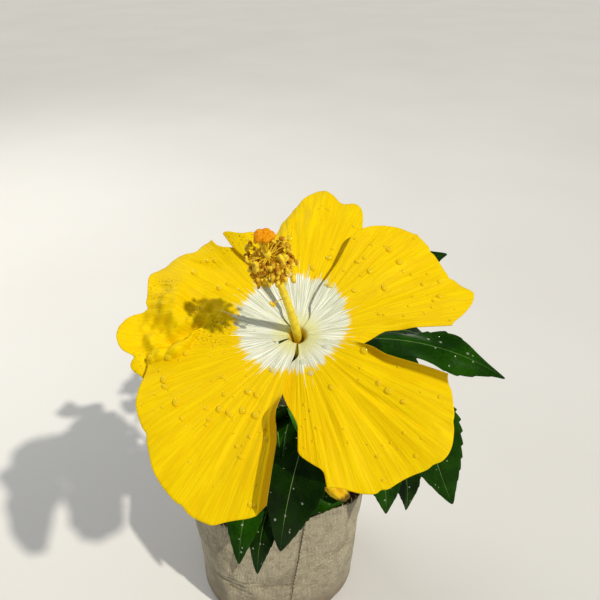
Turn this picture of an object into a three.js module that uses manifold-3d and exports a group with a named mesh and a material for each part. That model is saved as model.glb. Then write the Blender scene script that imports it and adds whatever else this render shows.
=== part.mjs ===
// A young hibiscus shrub in a woven grow bag: a short woody trunk, five boughs, their leafy shoots,
// and one great yellow bloom that leans out over the front of the bag.
// Millimetres, +Z up. The origin is the middle of the bag's flat underside, and the bloom faces -Y and up.
import * as THREE from "three";
import { mergeVertices } from "three/addons/utils/BufferGeometryUtils.js";
import Module from "manifold-3d";

const wasm = await Module();
wasm.setup();

// Driving sizes
const GAP = 0.3; // clearance left between pieces that touch
const BAG = { height: 122, half: 65, wall: 1.6, floor: 2, sides: 40, turn: 13 };
const BAG_POWER = { foot: 2.2, rim: 3.6 }; // of the plan's outline: 2 is round, and more is squarer
const RIM_DIP = { corners: 2.5, uneven: 1.2 };
const SOIL = { height: 110, clear: 0.6 };
const PLANTED_AT = [8, 0, 16]; // the plant's own frame: its trunk stands a little off the bag's middle
const TRUNK = { foot: [1, 6, 92], bend: [-3, 4, 114], top: [1, -3, 136] };
const TRUNK_RADIUS = { flare: 5, flareHeight: 11, neck: 6, top: 5 };
const BOUGH_RADIUS = { foot: 3.9, tip: 2.5 };
const STEM_RADIUS = { foot: 2.5, tip: 1.4 };
const TWIG_RADIUS = { foot: 1.7, tip: 1.1 };
const PETIOLE_RADIUS = { foot: 1, tip: 0.8 };
const LEAF = { slimness: 0.34, thick: 1.2, segments: 5, spacing: 10, lengths: [44, 70], tries: 8 };
const GOLDEN_TURN = 137.5;

// Each shoot: where its bough leaves the trunk (a share of the trunk's height) and the bough's bend and
// tip, how far the leafy stem runs on before it bends, and its tip, the twigs that carry its hung leaves
// (a share of the stem, then the twig's tip), how many more twigs it may grow, and the seed and the first
// turn of its leaves.
const SHOOTS = {
  front: {
    bough: [0.66, [6, -24, 138], [9, -44, 184]],
    stem: [35, [15, -92, 246]],
    twigs: [[0.12, [-12, -56, 176]]],
    moreTwigs: 5,
    seed: 11,
    turn: 200,
  },
  left: {
    bough: [0.5, [-17, 1, 131], [-25, 2, 154]],
    stem: [40, [-38, -8, 246]],
    twigs: [],
    moreTwigs: 6,
    seed: 23,
    turn: 150,
  },
  right: {
    bough: [0.62, [19, -1, 137], [28, -4, 158]],
    stem: [45, [40, -46, 258]],
    twigs: [[0.1, [52, -34, 184]], [0.45, [64, -42, 228]]],
    moreTwigs: 5,
    seed: 37,
    turn: 20,
  },
  back: {
    bough: [0.68, [0, 18, 140], [0, 28, 160]],
    stem: [36, [4, 50, 248]],
    twigs: [],
    moreTwigs: 6,
    seed: 41,
    turn: 80,
  },
  top: {
    bough: [1, [3.2, -6.9, 148.2], [-2, -3, 166]],
    stem: [42, [0, -8, 268]],
    twigs: [],
    moreTwigs: 6,
    seed: 71,
    turn: 310,
  },
};

// The room that the crown keeps to, and the middle of each shoot's share of it.
const CROWN = { middle: [10, -2, 212], half: [107, 114, 97] };
const TWIG = { lengths: [26, 44], rise: 28, clear: 3 };
const SHARES = {
  front: [12, -66, 196],
  left: [-60, 0, 205],
  right: [74, -6, 208],
  back: [2, 62, 205],
  top: [2, 0, 274],
};
const CLEAR = { leaf: 6, limb: 3.5, bloom: 14, soil: 10, rim: 8 };

// The leaves that hang out from under the bloom: foot, tip and half width, how far the blade arches,
// its roll and twist in degrees, and how wavy and how folded it is.
const HUNG_LEAVES = {
  front: [
    {
      foot: [16, -57, 186], tip: [0, -88, 113],
      half: 26, arch: 6, roll: 0, twist: 8, wave: 2, cup: 0.1,
    },
    {
      foot: [-17, -52, 149], tip: [-27.5, -88, 99],
      half: 15, arch: 8, roll: -10, twist: 0, wave: 2, cup: 0.15,
    },
    {
      foot: [-4, -56, 140], tip: [-16, -86, 85],
      half: 13, arch: 8, roll: -10, twist: 10, wave: 2, cup: 0.15,
    },
    {
      foot: [14, -76, 219], tip: [-6, -80, 156],
      half: 18, arch: 6, roll: 10, twist: 0, wave: 2, cup: 0.1,
    },
  ],
  right: [
    {
      foot: [39, -76, 275], tip: [120, -88, 258],
      half: 19, arch: 9, roll: -8, twist: 10, wave: 3, cup: -0.2,
    },
    {
      foot: [84, -60, 221], tip: [111, -75, 143],
      half: 23, arch: -2, roll: 60, twist: 0, wave: 2, cup: 0.1,
    },
    {
      foot: [60, -46, 173], tip: [71, -66, 122],
      half: 15, arch: 6, roll: 20, twist: 0, wave: 2, cup: 0.15,
    },
    {
      foot: [74, -30, 162], tip: [89, -48, 103],
      half: 14, arch: 8, roll: 10, twist: 10, wave: 2, cup: 0.15,
    },
    {
      foot: [66, 14, 240], tip: [108, 22, 272],
      half: 15, arch: 8, roll: 0, twist: 10, wave: 2, cup: 0.15,
    },
  ],
};

const BLOOM = { throat: [12.2, -129.8, 312.7], facing: [-0.03, -0.465, 0.885] };
const PETAL = { thick: 0.8, alongSegments: 8, acrossSegments: 12, overlap: 0.14, flatTo: 40, droop: 0.003 };
const CLAW = { radius: 4.8, depth: 24, rim: 6, angle: 30, end: 7, flare: 2.6, waist: 14.5 };
// Each petal: the turn of its claw, of its clockwise and counterclockwise edge at its waist and at its
// margin, in degrees, the radii where waist turns to margin, and its reach from clockwise to
// counterclockwise as a sum of waves.
const PETALS = {
  petal_top: {
    claw: 92,
    waist: [50, 119],
    margin: [58, 124.6],
    blend: [34, 54],
    reach: [65.5, 10.1, -5.2, -8.1, -0.8, 0, -1.2, -1.9, -1.2, -1.6],
  },
  petal_left: {
    claw: 164,
    waist: [106, 179],
    margin: [128, 199],
    blend: [38, 60],
    reach: [69, -0.2, -2.3, 0.4, -3.2, 1.1, 1.3, -0.3],
  },
  petal_lower_left: {
    claw: -124,
    waist: [-197, -102],
    margin: [-170, -98],
    blend: [34, 62],
    reach: [72.3, -5.1, -4.3, 1.7, -2.2, 0.2, -1.1, 0.1],
  },
  petal_lower_right: {
    claw: -52,
    waist: [-109, -11],
    margin: [-80, -20],
    blend: [22, 50],
    reach: [68, -1.6, -4.6, 1.1, -1.3, -0.8, 0, 0.2],
  },
  petal_right: {
    claw: 20,
    waist: [-14, 60],
    margin: [5, 54.5],
    blend: [22, 50],
    reach: [72.7, 1.3, -1.4, -0.9, -2.7, -1.2, -0.5, 0],
  },
};
const RUFFLE = { waves: 7, height: 1.5 };
const CALYX = { foot: -31, floor: -24.4, wall: 1, teeth: 5, toothLength: 6, bracts: 7 };
const COLUMN = {
  radius: 2.9,
  tipRadius: 1.7,
  foot: -24.1,
  bend: 10,
  lean: [-0.187, -0.354, 0.916],
  length: 57,
};
const STAMENS = { count: 40, from: 0.68, filament: 6.5, thick: 0.5, anther: 1.3 };
const STYLE = { arms: 5, length: 4.5, spread: 4, thick: 0.6, pad: 1.7 };
const STALK_RADIUS = { foot: 1.7, tip: 2.3 };
const SPENT = {
  stalk: [[6, -28, 162], [28, -28, 166], [27, -40, 146]],
  foot: [28, -42, 142],
  tip: [46, -53, 120],
};
const SPENT_BUD = { radius: 7.6, grooves: 5, grooveDepth: 0.12, turns: 0.5 };

const COLOURS = {
  weave: 0xa89f8e,
  soil: 0x4a2f22,
  bark: 0x7d7358,
  shoot: 0x5f7a30,
  leaf: 0x1f5a1c,
  petal: 0xf6cf06,
  calyx: 0x6f8f3a,
  column: 0xf0c81e,
  spent: 0xe0a81a,
};

const vector = (p) => new THREE.Vector3(...p);
const mix = (a, b, t) => a + (b - a) * t;
const clamp = (t) => Math.min(Math.max(t, 0), 1);
const smooth = (t) => clamp(t) ** 2 * (3 - 2 * clamp(t));
const radians = THREE.MathUtils.degToRad;
const taper = ({ foot, tip }, spare = 0) => (t) => mix(foot, tip, t) + spare;

// A run of numbers from 0 to 1 that the same seed always repeats.
function dice(seed) {
  let state = seed;
  return () => {
    state = (state * 48271) % 2147483647;
    return state / 2147483647;
  };
}

// Moves each vertex to place(x, y, z), joins what meets, drops faces that collapse, turns the faces out.
function bend(geometry, place) {
  const bare = geometry.clone();
  for (const name of ["normal", "uv"]) bare.deleteAttribute(name);
  const spots = bare.attributes.position;
  for (let i = 0; i < spots.count; i++) {
    const p = place(spots.getX(i), spots.getY(i), spots.getZ(i));
    spots.setXYZ(i, p.x, p.y, p.z);
  }
  const merged = mergeVertices(bare, 1e-3);
  const corners = merged.index.array;
  const faces = [];
  for (let i = 0; i < corners.length; i += 3) {
    const [a, b, c] = corners.slice(i, i + 3);
    if (a !== b && b !== c && c !== a) faces.push(a, b, c);
  }
  const outward = volume(merged, faces) > 0;
  if (!outward) faces.reverse();
  return merged.setIndex(faces);
}

function volume(geometry, faces) {
  const corner = (k) => new THREE.Vector3().fromBufferAttribute(geometry.attributes.position, faces[k]);
  let sum = 0;
  for (let i = 0; i < faces.length; i += 3) sum += corner(i).dot(corner(i + 1).cross(corner(i + 2)));
  return sum / 6;
}

function solid(geometry) {
  const vertProperties = new Float32Array(geometry.attributes.position.array);
  const triVerts = new Uint32Array(geometry.index.array);
  return new wasm.Manifold(new wasm.Mesh({ numProp: 3, vertProperties, triVerts }));
}

// The largest single body of a joined or cut solid, without any hollow that joining sealed inside it.
function geometryOf(made) {
  const whole = made.decompose().sort((a, b) => b.volume() - a.volume())[0];
  const { numProp, numVert, vertProperties, triVerts } = whole.getMesh();
  const spots = new Float32Array(numVert * 3);
  for (let i = 0; i < numVert; i++) spots.set(vertProperties.subarray(i * numProp, i * numProp + 3), i * 3);
  const geometry = new THREE.BufferGeometry();
  geometry.setAttribute("position", new THREE.BufferAttribute(spots, 3));
  return geometry.setIndex(new THREE.BufferAttribute(triVerts, 1));
}

const fused = (geometries) => geometryOf(geometries.map(solid).reduce((all, one) => all.add(one)));
const cut = (geometry, tool) => geometryOf(solid(geometry).subtract(solid(tool)));

function mesh(name, geometry, colour, roughness) {
  const finish = new THREE.MeshStandardMaterial({ color: colour, roughness, metalness: 0 });
  const made = new THREE.Mesh(geometry, finish);
  made.name = name;
  return made;
}

const arc = (from, via, to) => new THREE.QuadraticBezierCurve3(from, via, to);

// A round limb along a curve: radius(t) is how thick it is from its foot to its tip.
function limb(curve, radius, sides, segments) {
  const { normals, binormals } = curve.computeFrenetFrames(segments);
  return bend(new THREE.CylinderGeometry(1, 1, 1, sides, segments), (x, y, z) => {
    const t = y + 0.5;
    const ring = Math.round(t * segments);
    const across = normals[ring].clone().multiplyScalar(x).addScaledVector(binormals[ring], z);
    return across.multiplyScalar(radius(t)).add(curve.getPointAt(t));
  });
}

// A thin blade over surface(u, v), with u from 0 to 1 along it and v from -1 to 1 across it.
function blade(surface, thickness, alongSegments, acrossSegments) {
  const step = 1e-3;
  return bend(new THREE.BoxGeometry(1, 1, 1, alongSegments, acrossSegments, 1), (x, y, z) => {
    const [u, v] = [x + 0.5, 2 * y];
    const along = surface(Math.min(u + step, 1), v).sub(surface(Math.max(u - step, 0), v));
    const across = surface(u, Math.min(v + step, 1)).sub(surface(u, Math.max(v - step, -1)));
    return surface(u, v).addScaledVector(along.cross(across).normalize(), z * thickness(v));
  });
}

// The bag and its soil

// The bag's outside, as shares of its half width at the rim and of its height, with a rounded foot.
const BAG_OUTLINE = [
  [0.93, 0],
  [0.975, 0.02],
  [0.99, 0.08],
  [0.995, 0.3],
  [1, 0.6],
  [1, 1],
].map(([r, z]) => [r * BAG.half, z * BAG.height]);

// The bag is sewn flat and opened out: round at its foot, a soft square at its rim, which dips between the
// corners and is a little uneven.
function bagShape(x, y, z) {
  const turn = Math.atan2(y, x) - radians(BAG.turn);
  const rise = z / BAG.height;
  const reach = Math.hypot(x, y) / BAG.half;
  const power = mix(BAG_POWER.foot, BAG_POWER.rim, rise);
  const swell = (Math.abs(Math.cos(turn)) ** power + Math.abs(Math.sin(turn)) ** power) ** (-1 / power);
  const dip = RIM_DIP.uneven * Math.sin(5 * turn) - RIM_DIP.corners * Math.cos(4 * turn);
  return new THREE.Vector3(x * swell, y * swell, z + dip * rise ** 4 * reach ** 2);
}

function turned(profile) {
  const points = profile.map(([r, z]) => new THREE.Vector2(r, z));
  return bend(new THREE.LatheGeometry(points, BAG.sides), (x, y, z) => bagShape(x, -z, y));
}

function bagWall() {
  const inside = BAG_OUTLINE.map(([r, z]) => [r - BAG.wall, Math.max(z, BAG.floor)]).reverse();
  return turned([[0, 0], ...BAG_OUTLINE, ...inside, [0, BAG.floor]]);
}

function soilFill() {
  const room = BAG.wall + SOIL.clear;
  const bed = BAG.floor + GAP + 0.1;
  const side = BAG_OUTLINE.map(([r, z]) => [r - room, Math.max(z, bed)]).filter(([, z]) => z < SOIL.height);
  const edge = BAG.half - room;
  const crust = [
    [edge, SOIL.height - 5],
    [edge * 0.8, SOIL.height - 2],
    [edge * 0.5, SOIL.height + 1],
    [edge * 0.3, SOIL.height],
    [0, SOIL.height],
  ];
  return turned([[0, bed], ...side, ...crust]);
}

// Trunk and boughs

const trunkLine = arc(...[TRUNK.foot, TRUNK.bend, TRUNK.top].map(vector));

function trunkRadius(t) {
  const { flare, flareHeight, neck, top } = TRUNK_RADIUS;
  const height = t * (TRUNK.top[2] - TRUNK.foot[2]);
  return mix(neck, top, t) + flare * Math.exp((-2 * height) / flareHeight);
}

// The trunk is cut flat where it stands on the soil.
function trunk() {
  const ground = new THREE.BoxGeometry(60, 60, 20);
  ground.translate(0, 0, SOIL.height - PLANTED_AT[2] + GAP - 10);
  return cut(limb(trunkLine, trunkRadius, 12, 8), bend(ground, (x, y, z) => new THREE.Vector3(x, y, z)));
}

// The top bough stands on the trunk's end, and the others leave its sides.
function boughLine({ bough: [share, via, tip] }) {
  const foot = trunkLine.getPoint(share);
  if (share === 1) foot.addScaledVector(trunkLine.getTangent(1), GAP);
  return arc(foot, vector(via), vector(tip));
}

function bough(shoot) {
  const whole = limb(boughLine(shoot), taper(BOUGH_RADIUS), 8, 6);
  return shoot.bough[0] === 1 ? whole : cut(whole, limb(trunkLine, (t) => trunkRadius(t) + GAP, 12, 8));
}

// Leaves

// How wide a leaf is along its length, from a rounded foot to a drawn-out tip.
const leafOutline = (u) => Math.sin(Math.PI * clamp(u) ** 0.62) ** 0.85 * (1 - 0.28 * u) + 0.025;

function leafSurface({ foot, tip, half, arch, roll, twist, wave, cup }) {
  const start = vector(foot);
  const chord = vector(tip).sub(start);
  const ahead = chord.clone().normalize();
  const side = new THREE.Vector3(-ahead.y, ahead.x, 0).normalize();
  const up = new THREE.Vector3().crossVectors(ahead, side);
  return (u, v) => {
    const lean = radians(roll + twist * u);
    const reach = half * leafOutline(u);
    const billow = wave * v * v * Math.sin(9 * u + 2 * v) * Math.sin(Math.PI * u);
    const lift = cup * Math.abs(v) ** 1.5 * reach + billow;
    return start
      .clone()
      .addScaledVector(chord, u)
      .addScaledVector(up, arch * 4 * u * (1 - u) + v * reach * Math.sin(lean) + lift * Math.cos(lean))
      .addScaledVector(side, v * reach * Math.cos(lean) - lift * Math.sin(lean));
  };
}

const leafBlade = (leaf) => blade(leafSurface(leaf), (v) => LEAF.thick * (1 - Math.abs(v)), LEAF.segments, 2);

// The leaf's stalk runs from inside the stem to well inside the blade.
function petiole(leaf) {
  const surface = leafSurface(leaf);
  const foot = surface(0, 0);
  const reach = foot.distanceTo(leaf.from);
  const via = foot.clone().addScaledVector(surface(0.1, 0).sub(foot).normalize(), -reach * 0.45);
  return limb(arc(leaf.from, via, surface(0.1, 0)), taper(PETIOLE_RADIUS), 3, 3);
}

function stemLine(shoot) {
  const [run, tip] = shoot.stem;
  const line = boughLine(shoot);
  const ahead = line.getTangent(1);
  const foot = line.getPoint(1).addScaledVector(ahead, GAP);
  return arc(foot, foot.clone().addScaledVector(ahead, run), vector(tip));
}

// A twig leaves its stem along the stem's own way and bends out to its tip.
function twigLine(shoot, [share, tip]) {
  const stem = stemLine(shoot);
  const foot = stem.getPoint(share);
  const via = foot.clone().lerp(vector(tip), 0.5).addScaledVector(stem.getTangent(share), 6);
  return arc(foot, via, vector(tip));
}

// What the leaves keep clear of: points along each limb, with how far to stay from them.
function limbPoints(line, radius) {
  const steps = Math.ceil(line.getLength() / 3);
  return Array.from({ length: steps + 1 }, (_, i) => ({
    at: line.getPoint(i / steps),
    room: radius(i / steps) + CLEAR.limb,
  }));
}

const bloomFacing = vector(BLOOM.facing).normalize();
const stalkLine = (() => {
  const stem = stemLine(SHOOTS.front);
  const ahead = stem.getTangent(1);
  const foot = stem.getPoint(1).addScaledVector(ahead, GAP);
  const top = vector(BLOOM.throat).addScaledVector(bloomFacing, CALYX.foot - GAP);
  const bends = [foot.clone().addScaledVector(ahead, 12), top.clone().addScaledVector(bloomFacing, -18)];
  return new THREE.CubicBezierCurve3(foot, ...bends, top);
})();
const spentLine = arc(...SPENT.stalk.map(vector));

// A direction swung from straight out of the crown toward a free turn, in radians.
function outward(from, turn, share) {
  const out = Math.atan2(from.y - CROWN.middle[1], from.x - CROWN.middle[0]);
  const free = radians(turn);
  return out + Math.atan2(Math.sin(free - out), Math.cos(free - out)) * share;
}

function heading(bearing, lift, size) {
  const flat = Math.cos(lift) * size;
  return new THREE.Vector3(flat * Math.cos(bearing), flat * Math.sin(bearing), Math.sin(lift) * size);
}

const limbsInTheWay = [
  ...limbPoints(trunkLine, trunkRadius),
  ...limbPoints(stalkLine, taper(STALK_RADIUS)),
  ...limbPoints(spentLine, taper(STALK_RADIUS)),
  ...limbPoints(new THREE.LineCurve3(vector(SPENT.foot), vector(SPENT.tip)), () => SPENT_BUD.radius),
  ...Object.values(SHOOTS).flatMap((shoot) => [
    ...limbPoints(boughLine(shoot), taper(BOUGH_RADIUS)),
    ...limbPoints(stemLine(shoot), taper(STEM_RADIUS)),
  ]),
];

// Each stem's twigs: those that its hung leaves need, then as many more as find room.
function growTwigs(name, shoot) {
  const roll = dice(shoot.seed + 1000);
  const stem = stemLine(shoot);
  const lines = shoot.twigs.map((twig) => twigLine(shoot, twig));
  for (let i = 0; i < shoot.moreTwigs; i++) {
    const share = mix(0.15, 0.92, (i + roll()) / shoot.moreTwigs);
    const foot = stem.getPoint(share);
    const bearing = outward(foot, shoot.turn + GOLDEN_TURN * i, 0.8);
    const lift = radians(TWIG.rise + 30 * (roll() - 0.5));
    const tip = foot.clone().add(heading(bearing, lift, mix(...TWIG.lengths, roll()) * (1 - 0.4 * share)));
    const line = twigLine(shoot, [share, tip.toArray()]);
    const outer = line.getPoints(8).slice(4);
    const free = ({ at, room }) => outer.every((p) => p.distanceTo(at) > room + TWIG.clear);
    const fitting = nearestShare(tip) === name && inCrown(tip) && inTheOpen(tip);
    if (fitting && limbsInTheWay.every(free)) lines.push(line);
  }
  limbsInTheWay.push(...lines.flatMap((line) => limbPoints(line, taper(TWIG_RADIUS))));
  return lines;
}

const inCrown = (p) => Math.hypot(...p.toArray().map((c, i) => (c - CROWN.middle[i]) / CROWN.half[i])) < 1;

function nearestShare(p) {
  const reach = ([, middle]) => p.distanceTo(vector(middle));
  return Object.entries(SHARES).sort((a, b) => reach(a) - reach(b))[0][0];
}

// Below the bloom's dish, and above the soil and the bag's rim.
function inTheOpen(p) {
  const from = p.clone().sub(vector(BLOOM.throat));
  const rise = from.dot(bloomFacing);
  const out = from.addScaledVector(bloomFacing, -rise).length();
  const underBloom = out > 100 || rise < -CLEAR.bloom - Math.max(0, 20 - out);
  const inBag = p.clone().add(vector(PLANTED_AT));
  const inside = Math.hypot(inBag.x, inBag.y) < BAG.half - CLEAR.rim;
  return underBloom && inBag.z > (inside ? SOIL.height + CLEAR.soil : BAG.height + CLEAR.rim);
}

const LEAF_SPOTS = [0.08, 0.2, 0.32, 0.45, 0.58, 0.7, 0.85, 1].flatMap((u) =>
  [-1, -0.5, 0, 0.5, 1].map((v) => [u, v]),
);
const leafPoints = (leaf) => LEAF_SPOTS.map(([u, v]) => leafSurface(leaf)(u, v));

// The leaf that a stem or twig bears at a share of its length. A try that finds no room is followed by
// a shorter one, turned a little further round.
function drawnLeaf(line, share, turn, attempt, roll) {
  const from = line.getPoint(share);
  const bearing = outward(from, turn + 40 * attempt + 20 * (roll() - 0.5), 0.85);
  const lift = radians(mix(-10, 40, share) + 30 * (roll() - 0.5));
  const fall = radians(mix(-50, 5, share) + 40 * (roll() - 0.5));
  const length = mix(...LEAF.lengths, roll()) * (1 - 0.05 * attempt);
  const foot = from.clone().add(heading(bearing, lift, mix(10, 20, roll())));
  return {
    from,
    foot: foot.toArray(),
    tip: foot.clone().add(heading(bearing, fall, length)).toArray(),
    half: length * LEAF.slimness,
    arch: mix(4, 11, roll()),
    roll: 50 * (roll() - 0.5),
    twist: 30 * (roll() - 0.5),
    wave: mix(0.8, 2.4, roll()),
    cup: mix(0.05, 0.25, roll()),
  };
}

function growLeaves(stems) {
  const grown = Object.fromEntries(Object.keys(SHOOTS).map((name) => [name, []]));
  const taken = [];
  const keep = (name, leaf) => {
    grown[name].push(leaf);
    taken.push(...leafPoints(leaf));
  };
  for (const [name, leaves] of Object.entries(HUNG_LEAVES)) {
    for (const leaf of leaves) keep(name, { ...leaf, from: nearestOn(stems[name], vector(leaf.foot)) });
  }
  for (const [name, shoot] of Object.entries(SHOOTS)) {
    const roll = dice(shoot.seed);
    const fits = (p) =>
      inCrown(p) &&
      nearestShare(p) === name &&
      inTheOpen(p) &&
      taken.every((q) => q.distanceTo(p) > CLEAR.leaf) &&
      limbsInTheWay.every(({ at, room }) => at.distanceTo(p) > room);
    let turn = shoot.turn;
    for (const line of stems[name]) {
      const count = Math.floor(line.getLength() / LEAF.spacing);
      for (let k = 0; k < count; k++) {
        turn += GOLDEN_TURN;
        for (let attempt = 0; attempt < LEAF.tries; attempt++) {
          const leaf = drawnLeaf(line, (k + 0.9) / count, turn, attempt, roll);
          if (!leafPoints(leaf).every(fits)) continue;
          keep(name, leaf);
          break;
        }
      }
    }
  }
  return grown;
}

function nearestOn(lines, spot) {
  const points = lines.flatMap((line) => line.getPoints(40).slice(8));
  return points.sort((a, b) => a.distanceTo(spot) - b.distanceTo(spot))[0];
}

function foliage([stem, ...twigs], leaves) {
  return fused([
    limb(stem, taper(STEM_RADIUS), 6, 6),
    ...twigs.map((line) => limb(line, taper(TWIG_RADIUS), 3, 3)),
    ...leaves.flatMap((leaf) => [petiole(leaf), leafBlade(leaf)]),
  ]);
}

// The bloom, in its own frame: the throat at the origin, facing +Z

const waves = (amounts, s) => amounts.reduce((sum, a, k) => sum + a * Math.cos(k * Math.PI * s), 0);

// The petals' common dish: deep and narrow at the claws, wide and nearly flat outside.
const funnel = (r) => (CLAW.rim + CLAW.depth) * Math.exp((CLAW.radius - r) / CLAW.flare);
const dish = (r) => CLAW.rim - funnel(r) - PETAL.droop * Math.max(r - PETAL.flatTo, 0) ** 2;

function petalSurface({ claw, waist, margin, blend, reach }) {
  const middle = (waist[0] + waist[1] + margin[0] + margin[1]) / 4;
  return (u, v) => {
    const s = (v + 1) / 2;
    const r = mix(CLAW.radius, waves(reach, s), u ** 1.25);
    const spread = mix(mix(...waist, s), mix(...margin, s), smooth((r - blend[0]) / (blend[1] - blend[0])));
    const root = claw + CLAW.angle * v;
    const turn = radians(mix(root, spread, smooth((r - CLAW.end) / (CLAW.waist - CLAW.end))));
    const over = PETAL.overlap * (turn - radians(middle)) * r;
    const ruffle = RUFFLE.height * smooth((r - 20) / 50) * Math.sin(RUFFLE.waves * turn);
    return new THREE.Vector3(r * Math.cos(turn), r * Math.sin(turn), dish(r) + over + ruffle);
  };
}

const petal = (shape) =>
  blade(petalSurface(shape), () => PETAL.thick, PETAL.alongSegments, PETAL.acrossSegments);

// A green cup with five teeth that hug the claws, over a ring of narrow bracts.
function calyx() {
  const outside = [
    [2.6, CALYX.foot],
    [6, -29],
    [6.9, -25],
    [8.2, -17],
    [10, -10],
  ];
  const inside = outside.slice(2).map(([r, z]) => [r - CALYX.wall, Math.max(z, CALYX.floor)]);
  const profile = [[0, CALYX.foot], ...outside, ...inside.reverse(), [0, CALYX.floor]];
  const tooth = (x, y, z) => {
    const point = Math.cos((CALYX.teeth / 2) * (Math.atan2(y, x) + 0.3)) ** 2;
    const grow = z > -11 ? point * CALYX.toothLength : 0;
    const flare = 1 + 0.2 * (grow / CALYX.toothLength);
    return new THREE.Vector3(x * flare, y * flare, z + grow);
  };
  const points = profile.map(([r, z]) => new THREE.Vector2(r, z));
  const cup = bend(new THREE.LatheGeometry(points, 20), (x, y, z) => tooth(x, -z, y));
  const bract = (_, i) => {
    const turn = (i / CALYX.bracts) * 2 * Math.PI;
    const spot = (r, z) => new THREE.Vector3(r * Math.cos(turn), r * Math.sin(turn), z);
    return limb(arc(spot(3, -29.4), spot(11, -30), spot(15, -19)), taper({ foot: 1.3, tip: 0.6 }), 3, 4);
  };
  return fused([cup, ...Array.from({ length: CALYX.bracts }, bract)]);
}

const columnLine = (() => {
  const toFrame = bloomTurn().invert();
  const tip = vector(COLUMN.lean).applyQuaternion(toFrame).setLength(COLUMN.length);
  return arc(new THREE.Vector3(0, 0, COLUMN.foot), new THREE.Vector3(0, 0, COLUMN.bend), tip);
})();

function bloomTurn() {
  const across = new THREE.Vector3(1, 0, 0).addScaledVector(bloomFacing, -bloomFacing.x).normalize();
  const up = new THREE.Vector3().crossVectors(bloomFacing, across);
  return new THREE.Quaternion().setFromRotationMatrix(new THREE.Matrix4().makeBasis(across, up, bloomFacing));
}

// The tube of fused stamens, their anthers on short threads, and the five arms of the style at its end.
function staminalColumn() {
  const radius = taper({ foot: COLUMN.radius, tip: COLUMN.tipRadius });
  const parts = [limb(columnLine, radius, 8, 10)];
  const { normals, binormals } = columnLine.computeFrenetFrames(100);
  const out = (t, turn) => {
    const ring = Math.round(t * 100);
    const aside = normals[ring].clone().multiplyScalar(Math.cos(turn));
    return aside.addScaledVector(binormals[ring], Math.sin(turn));
  };
  for (let i = 0; i < STAMENS.count; i++) {
    const t = mix(STAMENS.from, 0.98, i / STAMENS.count);
    const way = out(t, radians(GOLDEN_TURN * i)).addScaledVector(columnLine.getTangentAt(t), 0.3);
    const foot = columnLine.getPointAt(t);
    const length = radius(t) + STAMENS.filament * (0.8 + 0.25 * Math.sin(3 * i));
    const tip = foot.clone().addScaledVector(way, length);
    parts.push(limb(new THREE.LineCurve3(foot, tip), () => STAMENS.thick, 3, 1), ball(tip, STAMENS.anther));
  }
  for (let i = 0; i < STYLE.arms; i++) {
    const end = columnLine.getPointAt(1);
    const ahead = columnLine.getTangentAt(1);
    const way = out(1, (i / STYLE.arms) * 2 * Math.PI);
    const via = end.clone().addScaledVector(ahead, STYLE.length * 0.7).addScaledVector(way, 1);
    const tip = end.clone().addScaledVector(ahead, STYLE.length).addScaledVector(way, STYLE.spread);
    const root = end.clone().addScaledVector(ahead, -2);
    parts.push(limb(arc(root, via, tip), () => STYLE.thick, 4, 3), ball(tip, STYLE.pad));
  }
  return fused(parts);
}

const ball = (at, radius) =>
  bend(new THREE.OctahedronGeometry(radius), (x, y, z) => new THREE.Vector3(x, y, z).add(at));

const flowerStalk = () => limb(stalkLine, taper(STALK_RADIUS), 8, 8);

// The faded bloom: last day's flower, rolled up on itself below its own small calyx.
function spentBloom() {
  const [foot, tip] = [vector(SPENT.foot), vector(SPENT.tip)];
  const line = new THREE.LineCurve3(foot, tip);
  const outline = (t) => SPENT_BUD.radius * Math.sin(Math.PI * mix(0.14, 0.93, t)) ** 0.7;
  const { normals, binormals } = line.computeFrenetFrames(8);
  const rolled = bend(new THREE.CylinderGeometry(1, 1, 1, 15, 8), (x, y, z) => {
    const t = y + 0.5;
    const turn = Math.atan2(z, x);
    const wound = SPENT_BUD.grooves * turn + t * SPENT_BUD.turns * 2 * Math.PI;
    const groove = 1 - SPENT_BUD.grooveDepth * Math.cos(wound);
    const across = normals[0].clone().multiplyScalar(x).addScaledVector(binormals[0], z);
    return across.multiplyScalar(outline(t) * groove).add(line.getPointAt(t));
  });
  const cupLine = new THREE.LineCurve3(vector(SPENT.stalk[2]), foot.clone().lerp(tip, 0.12));
  const cup = limb(cupLine, (t) => mix(2.6, 5.4, smooth(2 * t)), 8, 3);
  const stalk = cut(limb(spentLine, taper(STALK_RADIUS), 6, 6), boughRoom());
  return fused([rolled, cup, stalk]);
}

const boughRoom = () => limb(boughLine(SHOOTS.front), taper(BOUGH_RADIUS, GAP), 8, 6);

const stems = Object.fromEntries(
  Object.entries(SHOOTS).map(([name, shoot]) => [name, [stemLine(shoot), ...growTwigs(name, shoot)]]),
);
const leaves = growLeaves(stems);
const bloom = new THREE.Group();
bloom.position.copy(vector(BLOOM.throat));
bloom.quaternion.copy(bloomTurn());
bloom.add(
  ...Object.entries(PETALS).map(([name, shape]) => mesh(name, petal(shape), COLOURS.petal, 0.5)),
  mesh("calyx", calyx(), COLOURS.calyx, 0.6),
  mesh("staminal_column", staminalColumn(), COLOURS.column, 0.6),
);

const plant = new THREE.Group();
plant.position.copy(vector(PLANTED_AT));
plant.add(
  mesh("trunk", trunk(), COLOURS.bark, 0.85),
  ...Object.entries(SHOOTS).flatMap(([name, shoot]) => [
    mesh(`bough_${name}`, bough(shoot), COLOURS.bark, 0.85),
    mesh(`foliage_${name}`, foliage(stems[name], leaves[name]), COLOURS.leaf, 0.4),
  ]),
  mesh("flower_stalk", flowerStalk(), COLOURS.shoot, 0.6),
  mesh("spent_bloom", spentBloom(), COLOURS.spent, 0.6),
  bloom,
);

const shrub = new THREE.Group();
shrub.add(
  mesh("grow_bag", bagWall(), COLOURS.weave, 0.8),
  mesh("soil", soilFill(), COLOURS.soil, 0.95),
  plant,
);

export default shrub;
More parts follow.
